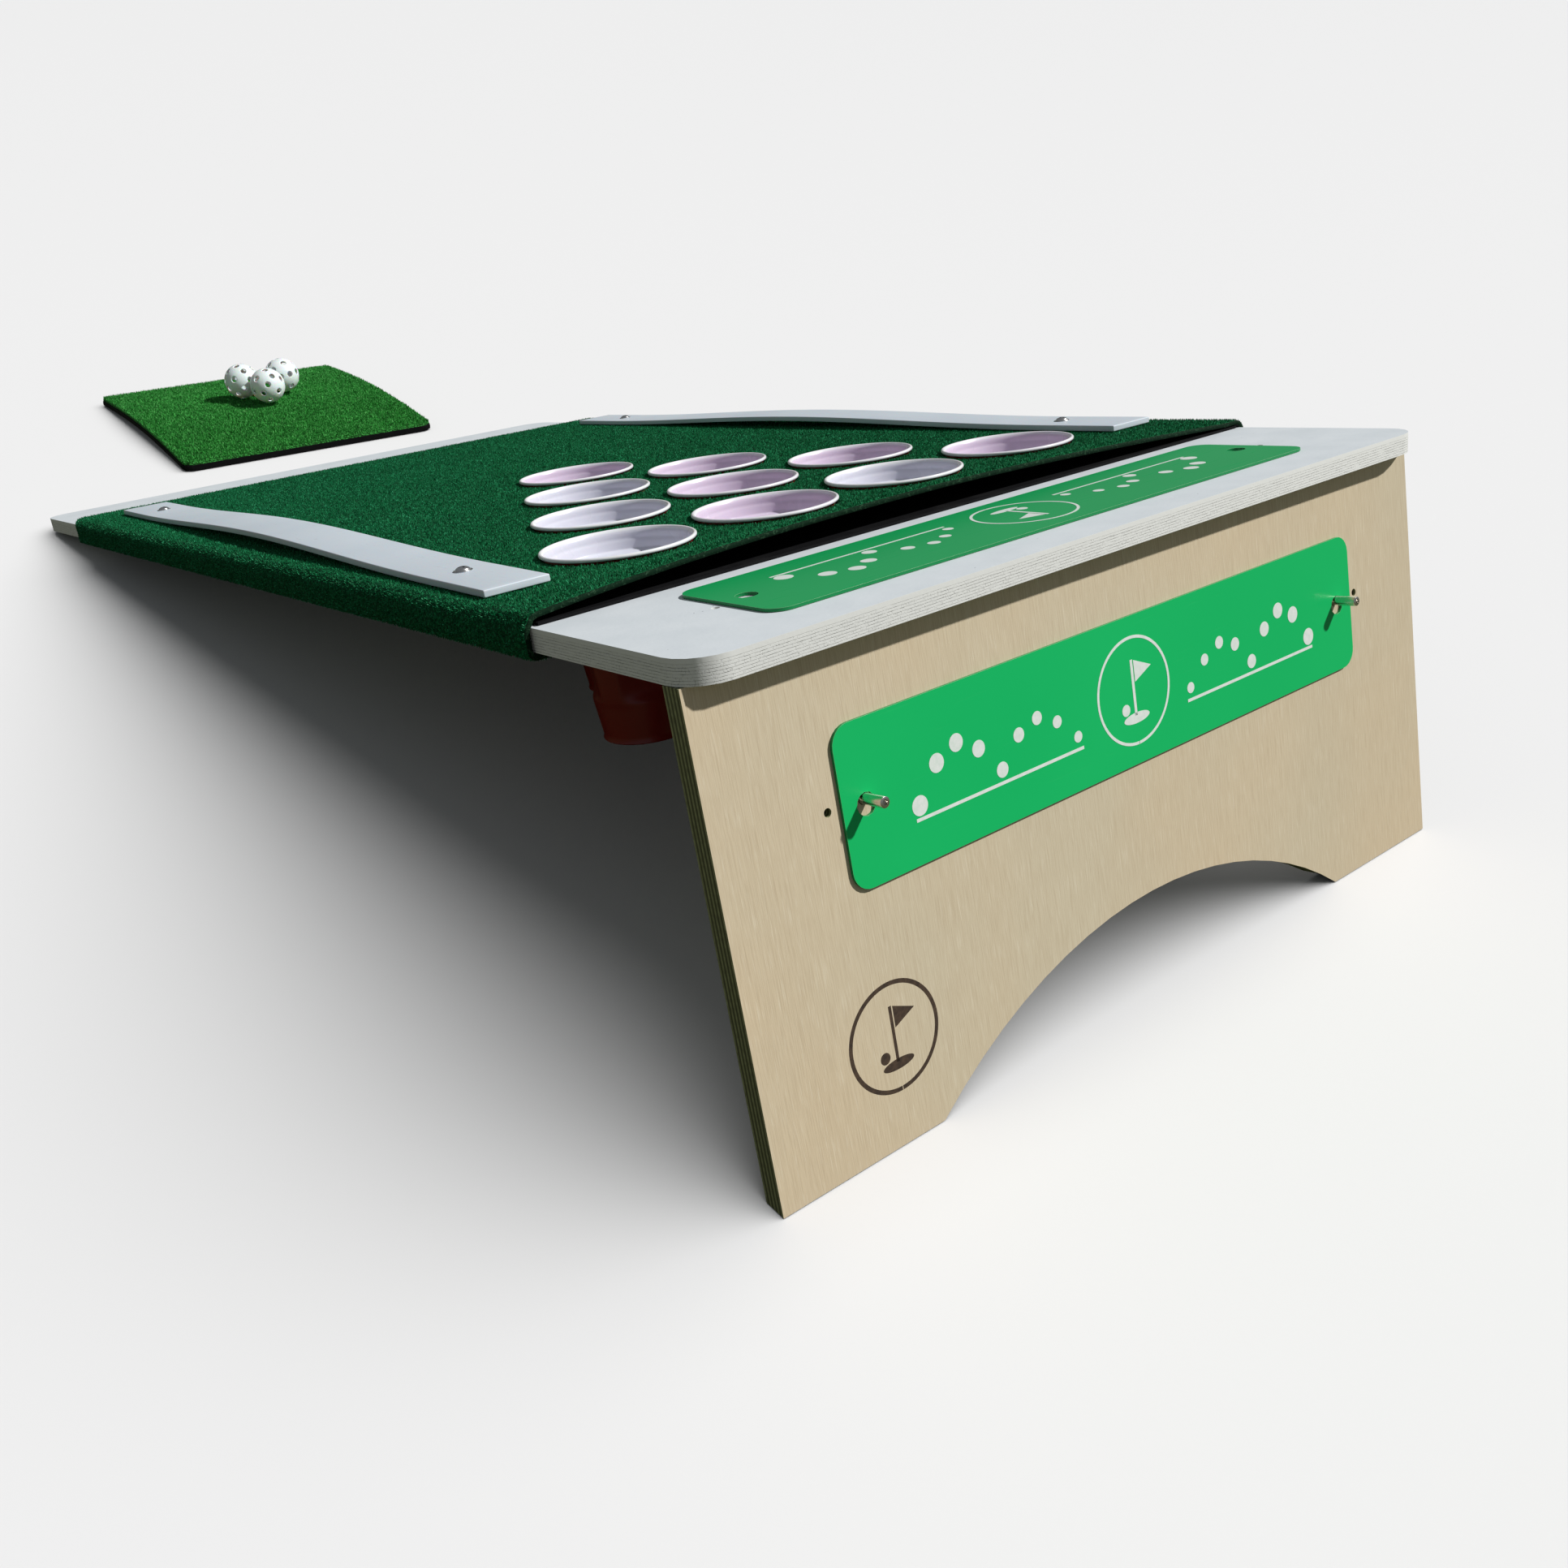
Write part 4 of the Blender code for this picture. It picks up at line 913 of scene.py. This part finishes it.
signPin = {"x": 200 * mm, "down": 79.5 * mm}
pinProfile = np.array([(0, 14.2), (1.35, 14.2), (1.45, 16.0), (2.5, 16.0), (2.85, 15.8), (3.0, 15.4),
                       (3.0, 1.0), (3.0, -12.3), (2.6, -12.7), (0, -12.7)]) * mm
hingeScrew = {"head": 3.2 * mm, "high": 1.1 * mm, "washer": 3.25 * mm, "shank": 1.4 * mm, "depth": 9 * mm,
              "out": 4.6 * mm, "sunk": 0.5 * mm}
hingeProfile = screwProfile(hingeScrew) - (0, hingeScrew["sunk"])


def addHingeScrew(owner, side, number, normal):
    # its head faces along normal, as far out from the CAD screw's middle as its own
    node = f"{owner}_hinge_screw_{side}_{number}"
    low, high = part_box(node)
    head = (np.array(low) + np.array(high)) / 2 + normal * hingeScrew["out"]
    across = np.array((1, 0, 0))
    sideways = np.cross(normal, across)

    def frameAt(x, y, z):
        return head + x[..., None] * across + y[..., None] * sideways + z[..., None] * normal

    mesh = turnedMesh(f"{owner}HingeScrew_{side}_{number}", hingeProfile, 28, frameAt)
    addPiece(mesh.name, mesh, owner, [screwSteel], (node,))


for side, way in (("left", -1), ("right", 1)):
    px = way * signPin["x"]
    mesh = turnedMesh(f"signPin_{side}", pinProfile, 40,
                      lambda x, y, z: onLeg(px + x, -z, y - signPin["down"]))
    addPiece(mesh.name, mesh, "leg", [polished], (f"sign_pin_{side}",))
for side in ("left", "right"):
    copyNode(f"hinge_board_leaf_{side}", "board", [zinc], 0.15 * mm, f"boardLeaf_{side}")
    copyNode(f"hinge_leg_leaf_{side}", "leg", [zinc], 0.15 * mm, f"legLeaf_{side}")
    finishNode(f"hinge_pin_{side}", polished)
    for number in (1, 2):
        addHingeScrew("board", side, number, -np.array(boardNormal))
        addHingeScrew("leg", side, number, np.array(legNormal))
print("hinges made")


# ---- loose mat and balls

mat = {"width": 304 * mm, "length": 340 * mm, "turn": math.radians(-2.3), "rubber": 5.6 * mm,
       "base": 6.5 * mm, "crown": 8 * mm, "turf": 3.2 * mm, "round": 9 * mm, "cols": 60, "rows": 80,
       "turfInset": 0.8 * mm, "bladeInset": 1.2 * mm, "bladeGrid": (60, 70)}
matLow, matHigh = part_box("mat_base")
matMiddle = (matLow + matHigh) / 2


def onMat(x, y, z):
    turnSin, turnCos = math.sin(mat["turn"]), math.cos(mat["turn"])
    across = matMiddle.x + x * turnCos - y * turnSin
    return np.stack([across, matMiddle.y + x * turnSin + y * turnCos, z], -1)


def matCrown(y):
    # the mat arches up along its length
    return mat["base"] + mat["crown"] * np.sin(math.pi * np.clip(y / mat["length"] + 0.5, 0, 1))


def matSolid(name, bottom, top, inset, bulge):
    # rows along y, a closed loop across: flat under, rounded sides, flat top
    m = mat
    halfW, halfL = m["width"] / 2 - inset, m["length"] / 2 - inset
    y = np.concatenate([[-halfL], np.linspace(-halfL, halfL, m["rows"]), [halfL]])
    corner = np.clip((np.abs(y) - (halfL - m["round"])) / m["round"], 0, 1)
    half = halfW - m["round"] * (1 - np.sqrt(1 - corner ** 2))
    across = np.linspace(-1, 1, m["cols"])
    none, full = np.zeros(m["cols"]), np.ones(m["cols"])
    side = arcPoints(0, 0, 1, 90, -90, 6)[1:-1]
    shareX = np.concatenate([across, np.ones(len(side)), across[::-1], -np.ones(len(side))])
    out = np.concatenate([none, side[:, 0], none, -side[:, 0]]) * bulge
    level = np.concatenate([full, side[:, 1] * 0.5 + 0.5, none, side[::-1, 1] * 0.5 + 0.5])
    x = half[:, None] * shareX + out
    yGrid = np.broadcast_to(y[:, None], x.shape)
    low, high = bottom(yGrid), top(yGrid)
    z = low + (high - low) * level
    # the end rows close on the middle of the edge
    for row in (0, -1):
        z[row] = (low[row] + high[row]) / 2
        x[row] *= 0.999
    mesh = meshFrom(name, onMat(x, yGrid, z).reshape(-1, 3), gridFaces(*x.shape, closed=True))
    work = bmesh.new()
    work.from_mesh(mesh)
    bmesh.ops.holes_fill(work, edges=[e for e in work.edges if e.is_boundary])
    bmesh.ops.recalc_face_normals(work, faces=work.faces)
    return smooth(finished(work, mesh), 40)


rubberMesh = matSolid("matRubber", lambda y: np.maximum(matCrown(y) - mat["rubber"], 0.05 * mm), matCrown,
                      0.0, 0.6 * mm)
addPiece("matRubber", rubberMesh, "mat", [rubber], ("mat_base",))
turfMesh = matSolid("matTurfSheet", lambda y: matCrown(y) + 0.2 * mm, lambda y: matCrown(y) + mat["turf"],
                    mat["turfInset"], 0.5 * mm)
made = addPiece("matTurfSheet", turfMesh, "mat", [matTurf], ("mat_turf",))

matX, matY = np.meshgrid(*(np.linspace(-1, 1, count) for count in mat["bladeGrid"]))
matX, matY = matX * (mat["width"] / 2 - mat["bladeInset"]), matY * (mat["length"] / 2 - mat["bladeInset"])
matGrid = np.stack([matX, matY, matCrown(matY) + mat["turf"]], -1)


def insideMat(root):
    # keeps blades off the rounded corners
    dx = np.clip(np.abs(root[:, 0]) - (mat["width"] / 2 - mat["round"]), 0, None)
    dy = np.clip(np.abs(root[:, 1]) - (mat["length"] / 2 - mat["round"]), 0, None)
    return np.hypot(dx, dy) < mat["round"] - 1 * mm


matBlade = {"height": 2.6 * mm, "width": 1.0 * mm, "lean": 0.55, "count": 120000}
scatterBlades("matBladesTop", matGrid, insideMat, onMat, 31, matBlade, "mat", matBlades)

# spins are degrees about x, y and z
ball = {"radius": 21 * mm, "wall": 1.4 * mm, "hole": 3.6 * mm, "steps": 150, "rings": 90,
        "spins": ((20, 10, 35), (75, 37, 10), (140, 70, 80)), "tilt": (0.31, 0.22)}


def ballMesh(name, centre, spin):
    # a sphere with round holes in the 26 directions of a cube's faces, edges and corners
    b = ball
    polar = np.linspace(0, math.pi, b["rings"] + 1)[:, None]
    angle = np.linspace(0, 2 * math.pi, b["steps"], endpoint=False)
    way = np.stack(np.broadcast_arrays(np.sin(polar) * np.cos(angle), np.sin(polar) * np.sin(angle),
                                       np.cos(polar)), -1).reshape(-1, 3)
    steps = np.array([step for step in itertools.product((-1, 0, 1), repeat=3) if any(step)], float)
    aims = steps / np.linalg.norm(steps, axis=1, keepdims=True)
    tilt = Matrix.Rotation(b["tilt"][0], 3, "X") @ Matrix.Rotation(b["tilt"][1], 3, "Y")
    aims = aims @ np.array(tilt).T
    edge = b["hole"] / b["radius"]
    step = math.pi / b["rings"]
    inside = np.zeros(len(way), bool)
    for aim in aims:
        off = np.arccos(np.clip(way @ aim, -1, 1))
        near = np.abs(off - edge) < 0.62 * step
        radial = way - (way @ aim)[:, None] * aim
        radial /= np.linalg.norm(radial, axis=1, keepdims=True) + 1e-12
        way = np.where(near[:, None], aim * math.cos(edge) + radial * math.sin(edge), way)
        inside |= (off < edge) & ~near
    faces = gridFaces(len(polar), len(angle), closed=True)
    faces = faces[~inside[faces].any(1)]
    middle = way[faces].mean(1)
    middle /= np.linalg.norm(middle, axis=1, keepdims=True)
    faces = faces[(middle @ aims.T).max(1) < math.cos(edge - 0.012)]
    used, order = np.unique(faces, return_inverse=True)
    aboutX, aboutY, aboutZ = (Matrix.Rotation(math.radians(turn), 3, axis)
                              for turn, axis in zip(spin, "XYZ"))
    turned = np.array(aboutZ @ aboutY @ aboutX)
    points = centre + (way[used] @ turned.T) * b["radius"]
    mesh = weld(meshFrom(name, points, order.reshape(faces.shape)), outward=False)
    first = mesh.polygons[0]
    if (first.center - Vector(centre)).dot(first.normal) < 0:
        mesh.flip_normals()
    mesh.shade_smooth()
    return mesh


for number, spin in enumerate(ball["spins"], 1):
    low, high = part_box(f"practice_ball_{number}")
    centre = (np.array(low) + np.array(high)) / 2
    made = addPiece(f"ball{number}", ballMesh(f"ball{number}", centre, spin), f"ball_{number}_body",
                    [ballPlastic], (f"practice_ball_{number}",))
    solid = made.modifiers.new("wall", "SOLIDIFY")
    solid.thickness = ball["wall"]
    solid.offset = -1
print("mat and balls made")


# ---- floor, light and camera

# sun: direction towards it, width in degrees, strength, colour
stage = {"half": 30.0, "floorZ": -0.6 * mm, "floor": (0.74, 0.74, 0.74), "bounce": (0.08, 0.085, 0.04),
         "lit": (0.180, 0.190, 0.200), "seen": (0.865, 0.865, 0.865),
         "key": ((0.56, -0.40, 0.73), 2.4, 4.0, (1.0, 0.985, 0.955)),
         "fill": ((0.35, -0.25, 0.90), 75, 3.5, (1.0, 0.99, 0.98))}
# camera: place in front of the leg's foot, and its right and forward directions
view = {"lens": 33.3, "sensor": 36, "x": -0.6125, "y": -0.3813, "z": 0.5290,
        "right": (0.7735, -0.6336, 0.0150), "forward": (0.5548, 0.6655, -0.4994)}


def addFloor():
    half, z = stage["half"], stage["floorZ"]
    points = np.array([(-half, -half, z), (half, -half, z), (half, half, z), (-half, half, z)])
    mesh = meshFrom("floor", points, np.array([[0, 1, 2, 3]]))
    # pale to look at, but it throws little light back up, so shadows stay deep
    f = Finish("paleFloor", roughness=0.9, specular=0.1)
    seen = f.node("ShaderNodeLightPath", output="Is Camera Ray")
    f.feed("colour", f.mix(seen, stage["bounce"], stage["floor"]))
    mesh.materials.append(f.material)
    floor = bpy.data.objects.new("floor", mesh)
    scene.collection.objects.link(floor)
    floor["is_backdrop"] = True
    return floor


def addSun(name, floor, link, way, width, strength, colour):
    # link INCLUDE lights the floor alone, EXCLUDE lights all but the floor
    lamp = bpy.data.lights.new(name, "SUN")
    lamp.angle = math.radians(width)
    lamp.energy = strength
    lamp.color = colour
    made = bpy.data.objects.new(name, lamp)
    made.rotation_euler = Vector(way).to_track_quat("Z", "Y").to_euler()
    scene.collection.objects.link(made)
    lit = bpy.data.collections.new(name + "Lit")
    lit.objects.link(floor)
    lit.collection_objects[0].light_linking.link_state = link
    made.light_linking.receiver_collection = lit


def addWorld():
    # soft light on the object, and a backdrop as pale as the floor
    world = bpy.data.worlds.new("studio")
    scene.world = world
    world.use_nodes = True
    nodes, links = world.node_tree.nodes, world.node_tree.links
    path = nodes.new("ShaderNodeLightPath")
    both = nodes.new("ShaderNodeMix")
    both.data_type = "RGBA"
    both.inputs[6].default_value = (*stage["lit"], 1)
    both.inputs[7].default_value = (*stage["seen"], 1)
    links.new(path.outputs["Is Camera Ray"], both.inputs[0])
    links.new(both.outputs[2], nodes["Background"].inputs[0])


def addCamera():
    lens = bpy.data.cameras.new("camera")
    lens.lens = view["lens"]
    lens.sensor_width = view["sensor"]
    lens.clip_end = 100
    made = bpy.data.objects.new("camera", lens)
    right = Vector(view["right"]).normalized()
    back = -Vector(view["forward"]).normalized()
    up = back.cross(right).normalized()
    turn = Matrix((up.cross(back), up, back)).transposed().to_4x4()
    turn.translation = Vector((view["x"], view["y"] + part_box("leg_panel")[0].y, view["z"]))
    made.matrix_world = turn
    scene.collection.objects.link(made)
    scene.camera = made


floor = addFloor()
addSun("keyLight", floor, "EXCLUDE", *stage["key"])
addSun("floorLight", floor, "INCLUDE", *stage["fill"])
addWorld()
scene.view_settings.view_transform = "Standard"
addCamera()

low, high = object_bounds()
